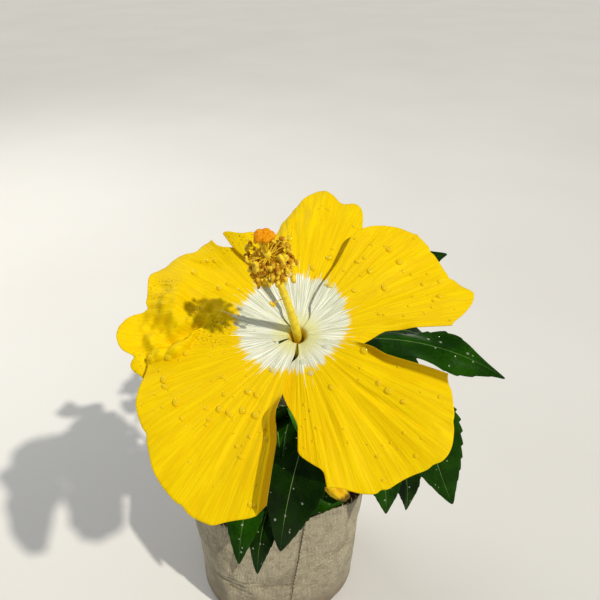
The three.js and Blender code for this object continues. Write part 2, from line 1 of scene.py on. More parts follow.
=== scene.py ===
# %% [markdown]
# # A young hibiscus shrub in a woven grow bag
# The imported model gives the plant's limbs, leaves and bloom as plain solids, in metres, with the bag's
# underside at the origin. This lesson dresses them: it grows the same twigs and leaves again with veins and
# teeth, gives the bloom ribs, folds and dew, and gives the bag its weave. Every piece keeps the place that
# its solid has, so nothing here needs fitting by eye.

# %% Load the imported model
import math

import bmesh
import bpy
import numpy as np
from mathutils import Matrix, Vector, noise


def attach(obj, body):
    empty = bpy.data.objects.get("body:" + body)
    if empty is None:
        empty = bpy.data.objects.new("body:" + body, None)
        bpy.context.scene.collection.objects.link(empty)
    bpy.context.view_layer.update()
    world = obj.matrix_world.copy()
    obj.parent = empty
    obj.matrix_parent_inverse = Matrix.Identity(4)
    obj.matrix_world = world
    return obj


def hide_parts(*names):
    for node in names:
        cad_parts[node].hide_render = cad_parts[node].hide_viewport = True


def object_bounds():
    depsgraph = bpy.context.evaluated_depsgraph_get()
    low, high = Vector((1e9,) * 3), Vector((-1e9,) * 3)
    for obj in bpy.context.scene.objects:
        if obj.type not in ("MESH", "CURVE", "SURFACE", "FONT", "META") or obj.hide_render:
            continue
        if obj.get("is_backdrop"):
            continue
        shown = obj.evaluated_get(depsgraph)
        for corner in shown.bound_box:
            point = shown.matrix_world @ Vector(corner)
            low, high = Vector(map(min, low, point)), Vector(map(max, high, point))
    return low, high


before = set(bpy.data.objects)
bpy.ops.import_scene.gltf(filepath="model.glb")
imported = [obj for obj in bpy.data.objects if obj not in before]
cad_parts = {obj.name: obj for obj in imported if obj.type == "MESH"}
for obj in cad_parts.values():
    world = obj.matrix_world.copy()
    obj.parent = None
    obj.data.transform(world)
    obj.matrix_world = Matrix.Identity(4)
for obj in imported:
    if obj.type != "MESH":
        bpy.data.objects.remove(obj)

cad_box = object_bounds()
print("the packed model spans", [tuple(round(c, 4) for c in corner) for corner in cad_box])

# %% [markdown]
# ## Camera, light and floor
# The photo was taken from just in front of the plant, looking down, in strong light from the right. A sun
# with a small disc gives that direction and crisp shadows, a pale sky fills the shade, and a wide softbox
# behind the plant gives the leaves something to shine with.

# %% Camera
MM = 0.001
CAMERA = {"at": (0.021, -0.331, 0.476), "tilt": 57.7, "lens": 36, "sensor": 36}
scene = bpy.context.scene
scene.view_settings.view_transform = "Standard"
camera = bpy.data.objects.new("camera", bpy.data.cameras.new("camera"))
camera.data.lens = CAMERA["lens"]
camera.data.sensor_width = CAMERA["sensor"]
camera.location = CAMERA["at"]
camera.rotation_euler = (math.radians(CAMERA["tilt"]), 0, 0)
scene.collection.objects.link(camera)
scene.camera = camera

# %% Lights
MIDDLE = (0, -0.05, 0.25)
SUN = {"from": Vector((0.50, -0.47, 0.72)), "energy": 2.75, "angle": 1.6, "colour": (1, 0.97, 0.9)}
SOFTBOX = {"at": (-0.9, 0.7, 1.1), "size": 0.9, "power": 9}
SKY = {"Color": (0.86, 0.92, 1, 1), "Strength": 0.3}


def aimed(name, light, at):
    """A light at a point that shines at the middle of the plant."""
    lamp = bpy.data.objects.new(name, light)
    lamp.location = at
    lamp.rotation_euler = (Vector(MIDDLE) - Vector(at)).to_track_quat("-Z", "Y").to_euler()
    scene.collection.objects.link(lamp)
    return lamp


sun = bpy.data.lights.new("sun", "SUN")
sun.energy = SUN["energy"]
sun.angle = math.radians(SUN["angle"])
sun.color = SUN["colour"]
aimed("sun", sun, Vector(MIDDLE) + 2 * SUN["from"])
softbox = bpy.data.lights.new("softbox", "AREA")
softbox.shape = "SQUARE"
softbox.size = SOFTBOX["size"]
softbox.energy = SOFTBOX["power"]
aimed("softbox", softbox, SOFTBOX["at"])
sky = bpy.data.worlds.new("pale_sky")
sky.use_nodes = True
for socket, value in SKY.items():
    sky.node_tree.nodes["Background"].inputs[socket].default_value = value
scene.world = sky
print("the sun shines from", tuple(SUN["from"]))

# %% [markdown]
# ## Writing shader maths in Python
# A finish is a small sum of patterns. Wiring each node by hand hides that sum, so a socket is wrapped in a
# class that knows arithmetic: `1 - mask * 0.5` then makes its own Math nodes. One method makes every other
# node from its type, its settings and what goes into its sockets.


# %% Sockets that know arithmetic
class Wire:
    """A shader socket that adds, subtracts, multiplies and divides by making Math nodes."""

    def __init__(self, finish, socket):
        self.finish = finish
        self.socket = socket

    def __add__(self, other):
        return self.finish.math("ADD", self, other)

    def __sub__(self, other):
        return self.finish.math("SUBTRACT", self, other)

    def __rsub__(self, other):
        return self.finish.math("SUBTRACT", other, self)

    def __mul__(self, other):
        return self.finish.math("MULTIPLY", self, other)

    def __truediv__(self, other):
        return self.finish.math("DIVIDE", self, other)

    def __pow__(self, other):
        return self.finish.math("POWER", self, other)

    __radd__ = __add__
    __rmul__ = __mul__


# %% A finish and the patterns it can draw
def colour(code):
    """A screen colour such as "f6cf06" as the linear colour that a shader wants."""
    parts = [int(code[i : i + 2], 16) / 255 for i in (0, 2, 4)]
    return (*[c / 12.92 if c < 0.04045 else ((c + 0.055) / 1.055) ** 2.4 for c in parts], 1)


class Finish:
    """A material under construction, with one principled shader."""

    def __init__(self, name, **plain):
        self.material = bpy.data.materials.new(name)
        self.material.use_nodes = True
        self.tree = self.material.node_tree
        self.shader = self.tree.nodes["Principled BSDF"]
        for socket, value in plain.items():
            self.shader.inputs[socket.replace("_", " ")].default_value = value

    def node(self, kind, settings=None, sockets=None, out=0):
        made = self.tree.nodes.new("ShaderNode" + kind)
        for key, value in (settings or {}).items():
            setattr(made, key, value)
        for key, value in (sockets or {}).items():
            self.feed(made.inputs[key], value)
        return Wire(self, made.outputs[out])

    def feed(self, socket, value):
        if isinstance(value, Wire):
            self.tree.links.new(value.socket, socket)
        else:
            socket.default_value = value

    def math(self, operation, *values):
        return self.node("Math", {"operation": operation}, dict(enumerate(values)))

    def rise(self, value, low, high):
        """0 up to low, 1 from high, and a soft step between."""
        settings = {"interpolation_type": "SMOOTHSTEP"}
        return self.node("MapRange", settings, {"Value": value, "From Min": low, "From Max": high})

    def blend(self, share, under, over):
        """One colour over another, by a share."""
        return self.node("Mix", {"data_type": "RGBA"}, {0: share, 6: under, 7: over}, 2)

    def shade(self, value, low, high, dark, light):
        """A colour that goes from dark to light as a value rises."""
        return self.blend(self.rise(value, low, high), colour(dark), colour(light))

    def over(self, tint, share, code):
        """Another colour laid over a tint, by a share."""
        return self.blend(share, tint, colour(code))

    def position(self):
        return self.node("TexCoord", out="Object")

    def drawn_out(self, vector, share):
        """A place for patterns that run long in z: the smaller the share, the longer."""
        return self.node("Mapping", {"vector_type": "POINT"}, {"Vector": vector, "Scale": (1, 1, share)})

    def away_from(self, spot, at):
        """The way to each point of the surface from a fixed one."""
        return self.node("VectorMath", {"operation": "SUBTRACT"}, {0: spot, 1: Vector(at)})

    def measure(self, vector, axis):
        """How far a vector reaches along an axis, in millimetres."""
        sockets = {0: vector, 1: Vector(axis)}
        return self.node("VectorMath", {"operation": "DOT_PRODUCT"}, sockets, 1) * (1 / MM)

    def parts(self, vector):
        return [self.node("SeparateXYZ", None, {0: vector}, axis) for axis in "XYZ"]

    def joined(self, x, y, z=0.0):
        return self.node("CombineXYZ", None, {"X": x, "Y": y, "Z": z})

    def speckle(self, vector, scale, detail=2.0, roughness=0.5):
        sockets = {"Vector": vector, "Scale": scale, "Detail": detail, "Roughness": roughness}
        return self.node("TexNoise", None, sockets)

    def done(self, tint, roughness, relief=None, depth=0.2):
        """Feeds the shader its colour, its roughness and its relief, a bump of so many mm."""
        self.feed(self.shader.inputs["Base Color"], tint)
        self.feed(self.shader.inputs["Roughness"], roughness)
        if relief is not None:
            bump = self.node("Bump", None, {"Height": relief, "Strength": 1.0, "Distance": depth * MM})
            self.feed(self.shader.inputs["Normal"], bump)
        return self.material


# %% [markdown]
# ## From a mesh under construction to a finished piece
# Every piece below is a bmesh that some operators have shaped. One helper turns it into an object, lets it
# ride on the plant's body, and hides the solids that it stands for.


# %% Finished pieces
def settled(name, shape):
    """The mesh of a shape that needs no more work."""
    made = bpy.data.meshes.new(name)
    shape.to_mesh(made)
    shape.free()
    return made


def piece(name, shape, finishes, replaces=()):
    """Makes the object, and prints how many triangles it has."""
    made = settled(name, shape)
    for finish in finishes:
        made.materials.append(finish)
    made.polygons.foreach_set("use_smooth", [True] * len(made.polygons))
    item = bpy.data.objects.new(name, made)
    scene.collection.objects.link(item)
    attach(item, "root")
    if replaces:
        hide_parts(*replaces)
    print(name, sum(len(face.vertices) - 2 for face in made.polygons), "triangles")


# %% Helpers that shapes share
def outward(shape):
    """Turns every face of closed bodies to point out."""
    bmesh.ops.recalc_face_normals(shape, faces=shape.faces)
    return shape


def sheet_of(shape, along, across, surface):
    """Adds a grid whose corners lie at surface(u, v), u from 0 to 1 and v from -1 to 1."""
    grid = bmesh.ops.create_grid(shape, x_segments=along, y_segments=across, size=0.5)["verts"]
    spots = np.array([corner.co for corner in grid])
    places = surface(spots[:, 0] + 0.5, 2 * spots[:, 1])
    for corner, place in zip(grid, places):
        corner.co = place
    return grid, spots


def walled(shape, thickness):
    """Gives sheets a wall, and returns what was added."""
    return bmesh.ops.solidify(shape, geom=shape.faces[:], thickness=thickness)["geom"]


def join(shape, other):
    """Adds another mesh under construction to this one."""
    made = settled("joined", other)
    shape.from_mesh(made)
    bpy.data.meshes.remove(made)


def roughened(shape, *layers):
    """Pushes a surface in and out by noises: each has a height and how fine it is along x, y and z."""
    shape.normal_update()
    for corner in shape.verts:
        x, y, z = corner.co / MM
        lift = sum(height * noise.noise(Vector((x * a, y * b, z * c))) for height, (a, b, c) in layers)
        corner.co += corner.normal * MM * lift
    return shape


def evaluated(holder):
    """An object's mesh with its bevel or modifiers worked out, ready for more work."""
    scene.collection.objects.link(holder)
    graph = bpy.context.evaluated_depsgraph_get()
    solid = bpy.data.meshes.new_from_object(holder.evaluated_get(graph))
    bpy.data.objects.remove(holder)
    shape = bmesh.new()
    shape.from_mesh(solid)
    bpy.data.meshes.remove(solid)
    return shape


# %% [markdown]
# ## The floor
# A plain pale sheet, far wider than the view, with a faint mottle so that it doesn't look computed.

# %% Floor
FLOOR = {"half": 8, "drop": 0.0004}
paper = Finish("pale_floor")
mottle = paper.speckle(paper.position(), 3.0, 3.0)
paper_finish = paper.done(paper.blend(mottle, colour("d8d4cc"), colour("e2dfd8")), 0.8)
shape = bmesh.new()
bmesh.ops.create_grid(shape, x_segments=1, y_segments=1, size=FLOOR["half"])
floor = bpy.data.objects.new("floor", settled("floor", shape))
floor.data.materials.append(paper_finish)
floor.location = (0, 0, -FLOOR["drop"])
scene.collection.objects.link(floor)
floor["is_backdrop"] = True

# %% [markdown]
# ## How the plant grows
# The solids grow by a rule: each bough ends in a stem, the stem bears twigs, and leaves are dealt out round
# both by the golden turn, with seeded dice. A leaf that would touch a limb, another leaf, the bloom or the
# bag is skipped. The same rule is written again here, in the same order, so that the finished leaves lie
# where the solids' leaves lie. A few are then changed by name, to stand closer to the photo. Sizes are in
# millimetres, in the plant's own frame, whose place in the bag is `PLANTED_AT`.

# %% Sizes that the solids were built from
PLANTED_AT = np.array([8, 0, 16])
GAP = 0.3
TRUNK_LINE = [[1, 6, 92], [-3, 4, 114], [1, -3, 136]]
TRUNK = {"flare": 5, "flare_height": 11, "neck": 6, "top": 5}
BOUGH, STEM, TWIG_R, STALK = (3.9, 2.5), (2.5, 1.4), (1.7, 1.1), (1.7, 2.3)
LEAF = {"slimness": 0.34, "spacing": 10, "lengths": (44, 70), "reach": (10, 20), "tries": 8}
GOLDEN_TURN = 137.5
SHOOTS = {
    "front": {
        "bough": [0.66, [6, -24, 138], [9, -44, 184]],
        "stem": [35, [15, -92, 246]],
        "twigs": [[0.12, [-12, -56, 176]]],
        "more": 5,
        "seed": 11,
        "turn": 200,
    },
    "left": {
        "bough": [0.5, [-17, 1, 131], [-25, 2, 154]],
        "stem": [40, [-38, -8, 246]],
        "twigs": [],
        "more": 6,
        "seed": 23,
        "turn": 150,
    },
    "right": {
        "bough": [0.62, [19, -1, 137], [28, -4, 158]],
        "stem": [45, [40, -46, 258]],
        "twigs": [[0.1, [52, -34, 184]], [0.45, [64, -42, 228]]],
        "more": 5,
        "seed": 37,
        "turn": 20,
    },
    "back": {
        "bough": [0.68, [0, 18, 140], [0, 28, 160]],
        "stem": [36, [4, 50, 248]],
        "twigs": [],
        "more": 6,
        "seed": 41,
        "turn": 80,
    },
    "top": {
        "bough": [1, [3.2, -6.9, 148.2], [-2, -3, 166]],
        "stem": [42, [0, -8, 268]],
        "twigs": [],
        "more": 6,
        "seed": 71,
        "turn": 310,
    },
}
CROWN = {"middle": np.array([10, -2, 212]), "half": np.array([107, 114, 97])}
TWIG = {
    "lengths": (26, 44),
    "shorter": 0.4,
    "between": (0.15, 0.92),
    "bow": 6,
    "rise": 28,
    "swing": 30,
    "outward": 0.8,
    "clear": 3,
}
SHARES = {
    "front": [12, -66, 196],
    "left": [-60, 0, 205],
    "right": [74, -6, 208],
    "back": [2, 62, 205],
    "top": [2, 0, 274],
}
CLEAR = {"leaf": 6, "limb": 3.5, "bloom": 14, "soil": 10, "rim": 8}
BAG = {"height": 122, "half": 65, "wall": 1.6, "floor": 2, "foot_power": 2.2, "rim_power": 3.6, "turn": 13}
SOIL = {"height": 110, "clear": 0.6}


# %% Leaves that hang out from under the bloom
def hung(foot, tip, *form):
    """A leaf placed by name: its foot and tip, half width, arch, roll, twist, wave and cup."""
    return {"foot": foot, "tip": tip, **dict(zip(("half", "arch", "roll", "twist", "wave", "cup"), form))}


HUNG_LEAVES = {
    "front": [
        hung([16, -57, 186], [0, -88, 113], 26, 6, 0, 8, 2, 0.1),
        hung([-17, -52, 149], [-27.5, -88, 99], 15, 8, -10, 0, 2, 0.15),
        hung([-4, -56, 140], [-16, -86, 85], 13, 8, -10, 10, 2, 0.15),
        hung([14, -76, 219], [-6, -80, 156], 18, 6, 10, 0, 2, 0.1),
    ],
    "right": [
        hung([39, -76, 275], [120, -88, 258], 19, 9, -8, 10, 3, -0.2),
        hung([84, -60, 221], [111, -75, 143], 23, -2, 60, 0, 2, 0.1),
        hung([60, -46, 173], [71, -66, 122], 15, 6, 20, 0, 2, 0.15),
        hung([74, -30, 162], [89, -48, 103], 14, 8, 10, 10, 2, 0.15),
        hung([66, 14, 240], [108, 22, 272], 15, 8, 0, 10, 2, 0.15),
    ],
}

# %% Where the open and the spent bloom are
THROAT = np.array([12.2, -129.8, 312.7])
FACING = np.array([-0.03, -0.465, 0.885])
FACING /= np.linalg.norm(FACING)
CALYX_FOOT = -31
SPENT = {
    "stalk": [[6, -28, 162], [28, -28, 166], [27, -40, 146]],
    "foot": [28, -42, 142],
    "tip": [46, -53, 120],
    "radius": 7.6,
}


# %% Small sums used everywhere
def mix(a, b, t):
    return a + (b - a) * t


def smooth(t):
    t = np.clip(t, 0, 1)
    return t * t * (3 - 2 * t)


def unit(v):
    return v / np.linalg.norm(v)


def taper(radii):
    return lambda t: mix(*radii, t)


def dice(seed):
    """A run of numbers from 0 to 1 that the same seed always repeats."""
    state = seed

    def roll():
        nonlocal state
        state = state * 48271 % 2147483647
        return state / 2147483647

    return roll


def swung(width, roll):
    """A drawn number that may fall half a width to either side of 0."""
    return width * (roll() - 0.5)


def placed(points):
    """Plant frame in millimetres to the model's metres."""
    return (np.asarray(points, float) + PLANTED_AT) * MM


# %% Curves: a bend through three or four control points
def along(line, t):
    points = [np.asarray(p, float) for p in line]
    t = np.asarray(t, float)[..., None]
    while len(points) > 1:
        points = [mix(a, b, t) for a, b in zip(points, points[1:])]
    return points[0] + 0 * t


def heading_at(line, t):
    step = 1e-4
    return unit(along(line, min(t + step, 1)) - along(line, max(t - step, 0)))


def length_of(line):
    return np.linalg.norm(np.diff(along(line, np.linspace(0, 1, 201)), axis=0), axis=1).sum()


# %% The lines of the trunk, boughs, stems and stalks
def trunk_radius(t):
    height = t * (TRUNK_LINE[2][2] - TRUNK_LINE[0][2])
    flare = TRUNK["flare"] * np.exp(-2 * height / TRUNK["flare_height"])
    return mix(TRUNK["neck"], TRUNK["top"], t) + flare


def bough_line(shoot):
    share, via, tip = shoot["bough"]
    foot = along(TRUNK_LINE, share)
    if share == 1:
        foot = foot + heading_at(TRUNK_LINE, 1) * GAP
    return [foot, via, tip]


def stem_line(shoot):
    run, tip = shoot["stem"]
    line = bough_line(shoot)
    ahead = heading_at(line, 1)
    foot = along(line, 1) + ahead * GAP
    return [foot, foot + ahead * run, tip]


def twig_line(shoot, share, tip):
    stem = stem_line(shoot)
    foot = along(stem, share)
    via = mix(foot, np.asarray(tip, float), 0.5) + heading_at(stem, share) * TWIG["bow"]
    return [foot, via, tip]


def stalk_line():
    """The bloom's stalk, from the front stem's tip to the calyx."""
    stem = stem_line(SHOOTS["front"])
    ahead = heading_at(stem, 1)
    foot = along(stem, 1) + ahead * GAP
    top = THROAT + FACING * (CALYX_FOOT - GAP)
    return [foot, foot + ahead * 12, top - FACING * 18, top]


def points_on(line, radius):
    """Points along a limb, with how far leaves stay from each."""
    steps = math.ceil(length_of(line) / 3)
    t = np.arange(steps + 1) / steps
    return np.column_stack([along(line, t), radius(t) + CLEAR["limb"] + 0 * t])


# %% Where a twig or leaf may grow
BLOOM = {"half": 100, "throat": 20}
in_the_way = [
    points_on(TRUNK_LINE, trunk_radius),
    points_on(stalk_line(), taper(STALK)),
    points_on(SPENT["stalk"], taper(STALK)),
    points_on([SPENT["foot"], SPENT["tip"]], lambda t: SPENT["radius"]),
]
for shoot in SHOOTS.values():
    in_the_way += [points_on(bough_line(shoot), taper(BOUGH)), points_on(stem_line(shoot), taper(STEM))]


def outward_turn(spot, turn, share):
    """A bearing swung from straight out of the crown toward a free turn in degrees."""
    out = math.atan2(spot[1] - CROWN["middle"][1], spot[0] - CROWN["middle"][0])
    free = math.radians(turn)
    return out + math.atan2(math.sin(free - out), math.cos(free - out)) * share


def toward(bearing, lift, size):
    flat = math.cos(lift) * size
    return np.array([flat * math.cos(bearing), flat * math.sin(bearing), math.sin(lift) * size])


def in_crown(p):
    return np.linalg.norm((p - CROWN["middle"]) / CROWN["half"], axis=-1) < 1


def nearest_share(p):
    gaps = [np.linalg.norm(p - np.array(middle), axis=-1) for middle in SHARES.values()]
    return np.argmin(gaps, axis=0)


def in_the_open(p):
    """Below the bloom's dish, and above the soil and the bag's rim."""
    start = p - THROAT
    rise = start @ FACING
    out = np.linalg.norm(start - rise[..., None] * FACING, axis=-1)
    under_bloom = (out > BLOOM["half"]) | (rise < -CLEAR["bloom"] - np.maximum(0, BLOOM["throat"] - out))
    in_bag = p + PLANTED_AT
    inside = np.hypot(in_bag[..., 0], in_bag[..., 1]) < BAG["half"] - CLEAR["rim"]
    least = np.where(inside, SOIL["height"] + CLEAR["soil"], BAG["height"] + CLEAR["rim"])
    return under_bloom & (in_bag[..., 2] > least)


def far_from(points, others, room):
    """Whether every point keeps its room from every other."""
    gaps = np.linalg.norm(points[:, None] - others[None, :, :3], axis=2)
    return bool((gaps > room).all())


# %% Twigs
def grow_twigs(name, shoot):
    roll = dice(shoot["seed"] + 1000)
    stem = stem_line(shoot)
    lines = [twig_line(shoot, *twig) for twig in shoot["twigs"]]
    for i in range(shoot["more"]):
        share = mix(*TWIG["between"], (i + roll()) / shoot["more"])
        foot = along(stem, share)
        bearing = outward_turn(foot, shoot["turn"] + GOLDEN_TURN * i, TWIG["outward"])
        lift = math.radians(TWIG["rise"] + swung(TWIG["swing"], roll))
        length = mix(*TWIG["lengths"], roll()) * (1 - TWIG["shorter"] * share)
        tip = foot + toward(bearing, lift, length)
        line = twig_line(shoot, share, tip)
        outer_half = along(line, np.arange(4, 9) / 8)
        limbs = np.concatenate(in_the_way)
        own = list(SHARES)[nearest_share(tip)] == name
        clear = far_from(outer_half, limbs, limbs[None, :, 3] + TWIG["clear"])
        if own and in_crown(tip) and in_the_open(tip) and clear:
            lines.append(line)
    in_the_way.extend(points_on(line, taper(TWIG_R)) for line in lines)
    return [stem, *lines]


stems = {name: grow_twigs(name, shoot) for name, shoot in SHOOTS.items()}
print("twigs on each stem:", {name: len(lines) - 1 for name, lines in stems.items()})


# %% [markdown]
# ## One leaf
# A hibiscus leaf is egg-shaped with a drawn-out tip. Its blade arches along its midrib, leans about it and
# waves at its margin. All of that is one surface over u, from foot to tip, and v, from side to side. The
# same few numbers then serve for testing its room and for modelling it.


# %% The surface of a leaf
OUTLINE = {"widest": 0.62, "roundness": 0.85, "narrowing": 0.28, "foot": 0.025}


def leaf_outline(u):
    rounded = np.abs(np.sin(np.pi * np.clip(u, 0, 1) ** OUTLINE["widest"])) ** OUTLINE["roundness"]
    return rounded * (1 - OUTLINE["narrowing"] * u) + OUTLINE["foot"]


def leaf_surface(leaf, u, v, lift_more=0.0):
    foot = np.array(leaf["foot"], float)
    chord = np.array(leaf["tip"], float) - foot
    ahead = unit(chord)
    side = unit(np.array([-ahead[1], ahead[0], 0]))
    up = np.cross(ahead, side)
    lean = np.radians(leaf["roll"] + leaf["twist"] * u)
    reach = leaf["half"] * leaf_outline(u)
    ripple = leaf["wave"] * v * v * np.sin(9 * u + 2 * v) * np.sin(np.pi * u)
    lift = leaf["cup"] * np.abs(v) ** 1.5 * reach + ripple + lift_more
    raised = leaf["arch"] * 4 * u * (1 - u) + v * reach * np.sin(lean) + lift * np.cos(lean)
    aside = v * reach * np.cos(lean) - lift * np.sin(lean)
    return foot + chord * u[:, None] + up * raised[:, None] + side * aside[:, None]


TESTED = {"along": (0.08, 0.2, 0.32, 0.45, 0.58, 0.7, 0.85, 1), "across": (-1, -0.5, 0, 0.5, 1)}
SPOTS = np.array([(u, v) for u in TESTED["along"] for v in TESTED["across"]])


def leaf_points(leaf):
    return leaf_surface(leaf, SPOTS[:, 0], SPOTS[:, 1])


# %% A leaf by dice
DRAWN = {"step": 40, "swing": 20, "outward": 0.85, "shorter": 0.05}
RISE = {"between": (-10, 40), "swing": 30}
FALL = {"between": (-50, 5), "swing": 40}
FORM = {"arch": (4, 11), "roll": (-25, 25), "twist": (-15, 15), "wave": (0.8, 2.4), "cup": (0.05, 0.25)}


def slope(spans, share, roll):
    return math.radians(mix(*spans["between"], share) + swung(spans["swing"], roll))


def drawn_leaf(line, share, turn, attempt, roll, lengths=LEAF["lengths"], reach=LEAF["reach"]):
    """The leaf borne at a share of a line: each new attempt is shorter and further round."""
    start = along(line, share)
    turn = turn + DRAWN["step"] * attempt + swung(DRAWN["swing"], roll)
    bearing = outward_turn(start, turn, DRAWN["outward"])
    lift, fall = slope(RISE, share, roll), slope(FALL, share, roll)
    length = mix(*lengths, roll()) * (1 - DRAWN["shorter"] * attempt)
    foot = start + toward(bearing, lift, mix(*reach, roll()))
    return {
        "start": start,
        "foot": foot,
        "tip": foot + toward(bearing, fall, length),
        "half": length * LEAF["slimness"],
        **{part: mix(*span, roll()) for part, span in FORM.items()},
    }


# %% [markdown]
# ## Dealing out the leaves
# The hung leaves come first, because they show in front, and the drawn ones fill what room is left. A cloud
# of points on every kept leaf is what the next one is tested against.


# %% Leaves on every shoot
def nearest_on(lines, spot):
    points = np.concatenate([along(line, np.arange(8, 41) / 40) for line in lines])
    return points[np.argmin(np.linalg.norm(points - np.array(spot), axis=1))]


def hang(name, leaf):
    """Adds a leaf placed by name, borne at the nearest spot of its shoot."""
    leaves[name].append({**leaf, "start": nearest_on(stems[name], leaf["foot"]), "hung": True})


leaves = {name: [] for name in SHOOTS}
taken = []
for name, group in HUNG_LEAVES.items():
    for leaf in group:
        hang(name, leaf)
        taken.append(leaf_points(leaf))
limbs = np.concatenate(in_the_way)


def fits(leaf, name, leaf_room, limb_ease=0.0, ceiling=math.inf):
    points = leaf_points(leaf)
    own = nearest_share(points) == list(SHARES).index(name)
    if not (own & in_crown(points) & in_the_open(points) & (points[:, 2] < ceiling)).all():
        return False
    room = limbs[None, :, 3] - limb_ease
    return far_from(points, np.concatenate(taken), leaf_room) and far_from(points, limbs, room)


def deal(name, roll, turn, tries, spacing, room, **form):
    """Leaves along each line of a shoot at the golden turn, as many as find room."""
    found = 0
    for line in stems[name]:
        count = int(length_of(line) // spacing)
        for k in range(count):
            turn += GOLDEN_TURN
            for attempt in range(tries):
                leaf = drawn_leaf(line, (k + 0.9) / count, turn, attempt, roll, **form)
                if fits(leaf, name, *room):
                    leaves[name].append(leaf)
                    taken.append(leaf_points(leaf))
                    found += 1
                    break
    return found


for name, shoot in SHOOTS.items():
    roll = dice(shoot["seed"])
    found = deal(name, roll, shoot["turn"], LEAF["tries"], LEAF["spacing"], (CLEAR["leaf"],))
    print("leaves drawn on", name, found)

# %% [markdown]
# ## Leaves that differ from the solids
# The photo asks for a few changes. No leaf of the back shoot shows over the bloom, and one leaf hides the
# bough between the two lower petals. The leaf beside the bloom curls more than its solid, and the one
# behind it is wider. One small leaf, which has no solid, lies on the rim under the spent bloom.

# %% Leaves changed to suit the photo
BEHIND_BLOOM = 262
BOUGH_LEAF = hung([12, -86, 240], [2, -66, 174], 21, 3, 180, 0, 2, 0.1)
CURLED = {"wave": 5, "twist": 35, "roll": -16}
WIDER = {"half": 24, "tip": [111, 24, 272]}
RIM_LEAF = hung([6, -50, 117], [50, -43, 109], 14, 3, 32, 0, 1.5, 0.1)
leaves["back"] = [leaf for leaf in leaves["back"] if leaf["tip"][2] < BEHIND_BLOOM]
# The leaf under the bloom and the leaf over the bough lie in the bloom's shade: they always take the deep
# green, as painted shade.
leaves["front"][0].update(shaded=True)
leaves["front"][3].update(BOUGH_LEAF, shaded=True)
leaves["right"][0].update(CURLED)
leaves["right"][4].update(WIDER)
hang("front", RIM_LEAF)

# %% [markdown]
# ## Finer growth
# The solids stop at leaves that are worth a solid. A real shoot goes on: short side shoots with young,
# smaller leaves stand between the large ones. They grow here by the same rule with shorter lengths, keep
# inside the same crown, and stay below the bloom, which has the light to itself.

# %% Young leaves between the large ones
YOUNG = {"seed": 2000, "turn": 60, "tries": 4, "spacing": 8, "below": 256}
YOUNG_FORM = {"lengths": (20, 36), "reach": (5, 10)}
YOUNG_ROOM = (0.65 * CLEAR["leaf"], 1.5, YOUNG["below"])
for name, shoot in SHOOTS.items():
    roll = dice(shoot["seed"] + YOUNG["seed"])
    turn = shoot["turn"] + YOUNG["turn"]
    found = deal(name, roll, turn, YOUNG["tries"], YOUNG["spacing"], YOUNG_ROOM, **YOUNG_FORM)
    print("young leaves on", name, found)

# %% [markdown]
# ## Leaf finishes
# The upper side is a deep green with a thin gloss, younger leaves are lighter, the midrib is pale, and the
# underside is a dull green. Because a joined mass is baked onto one small picture, a colour that has a
# place is its own finish on its own faces. Only a fine mottle and the pores, which may fall anywhere, are
# patterns.


# %% Leaf finishes
def leaf_finish(name, dark, light, roughness, **plain):
    skin = Finish(name, **plain)
    spot = skin.position()
    cloud = skin.speckle(spot, 60.0, 3.0)
    cells = skin.speckle(spot, 900.0, 2.0)
    tint = skin.shade(cloud * 0.7 + cells * 0.3, 0.35, 0.65, dark, light)
    return skin.done(tint, roughness + 0.12 * cells, cells + cloud, 0.25)


GLOSS = {"Coat_Weight": 0.1, "Coat_Roughness": 0.08, "Specular_IOR_Level": 0.02}
LEAF_FINISHES = [
    leaf_finish("leaf_deep_green", "091d00", "143200", 0.24, **GLOSS),
    leaf_finish("leaf_mid_green", "0e2d00", "1e4800", 0.24, **GLOSS),
    leaf_finish("leaf_young_green", "2f651a", "55872a", 0.34, **GLOSS),
    leaf_finish("leaf_midrib", "4f7a2c", "7a9f48", 0.4),
    leaf_finish("leaf_underside", "1d3c12", "2f5420", 0.62, Specular_IOR_Level=0.0),
]
DEEP, MID, FRESH, RIB, UNDER = range(5)
FRESH_SHARE, MID_SHARE = 0.6, 0.45

# %% [markdown]
# ## Modelling the leaves
# Each leaf starts as a grid from one operator, laid over the leaf's surface. Three things are added to the
# solid's plain blade: teeth along the margin, a quilt between the side veins, and a groove along the
# midrib. The rows are crowded toward the midrib so that its strip of faces is narrow. The whole mass is
# then given a thickness in one step, which also leaves every leaf a closed body.

# %% The toothed and veined blade
VEINS = {"pairs": 7, "sweep": 0.3, "quilt": 0.5, "groove": 0.6}
TEETH = {"count": 10, "depth": 0.11}
LEAF_GRID = {"hung": (60, 21), "drawn": (30, 11), "young": (15, 7)}
BLADE_THICK = 0.35
DRAWN_FROM = LEAF["slimness"] * 38
CROWDING = 1.5
RIB_STRIP = 1.2


def leaf_kind(leaf):
    if leaf.get("hung"):
        return "hung"
    return "drawn" if leaf["half"] > DRAWN_FROM else "young"


def toothed(u, v):
    """How much of its reach a margin keeps at u: saw teeth that point to the tip."""
    saw = (u * TEETH["count"]) % 1
    cut = TEETH["depth"] * (1 - saw) * smooth(u / 0.15) * (1 - 0.6 * u)
    return v * (1 - cut * np.abs(v) ** 5)


def leaf_relief(leaf, u, v):
    size = leaf["half"] / 20
    veins = np.abs(np.sin(np.pi * (VEINS["pairs"] * (u - VEINS["sweep"] * np.abs(v)) + 0.5)))
    quilt = VEINS["quilt"] * (veins**0.6 - 0.6) * np.abs(v) ** 0.5 * (1 - v**4)
    groove = VEINS["groove"] * np.exp(-((v / 0.07) ** 2))
    return size * (quilt - groove) * np.sin(np.pi * np.clip(u, 0, 1)) ** 0.6


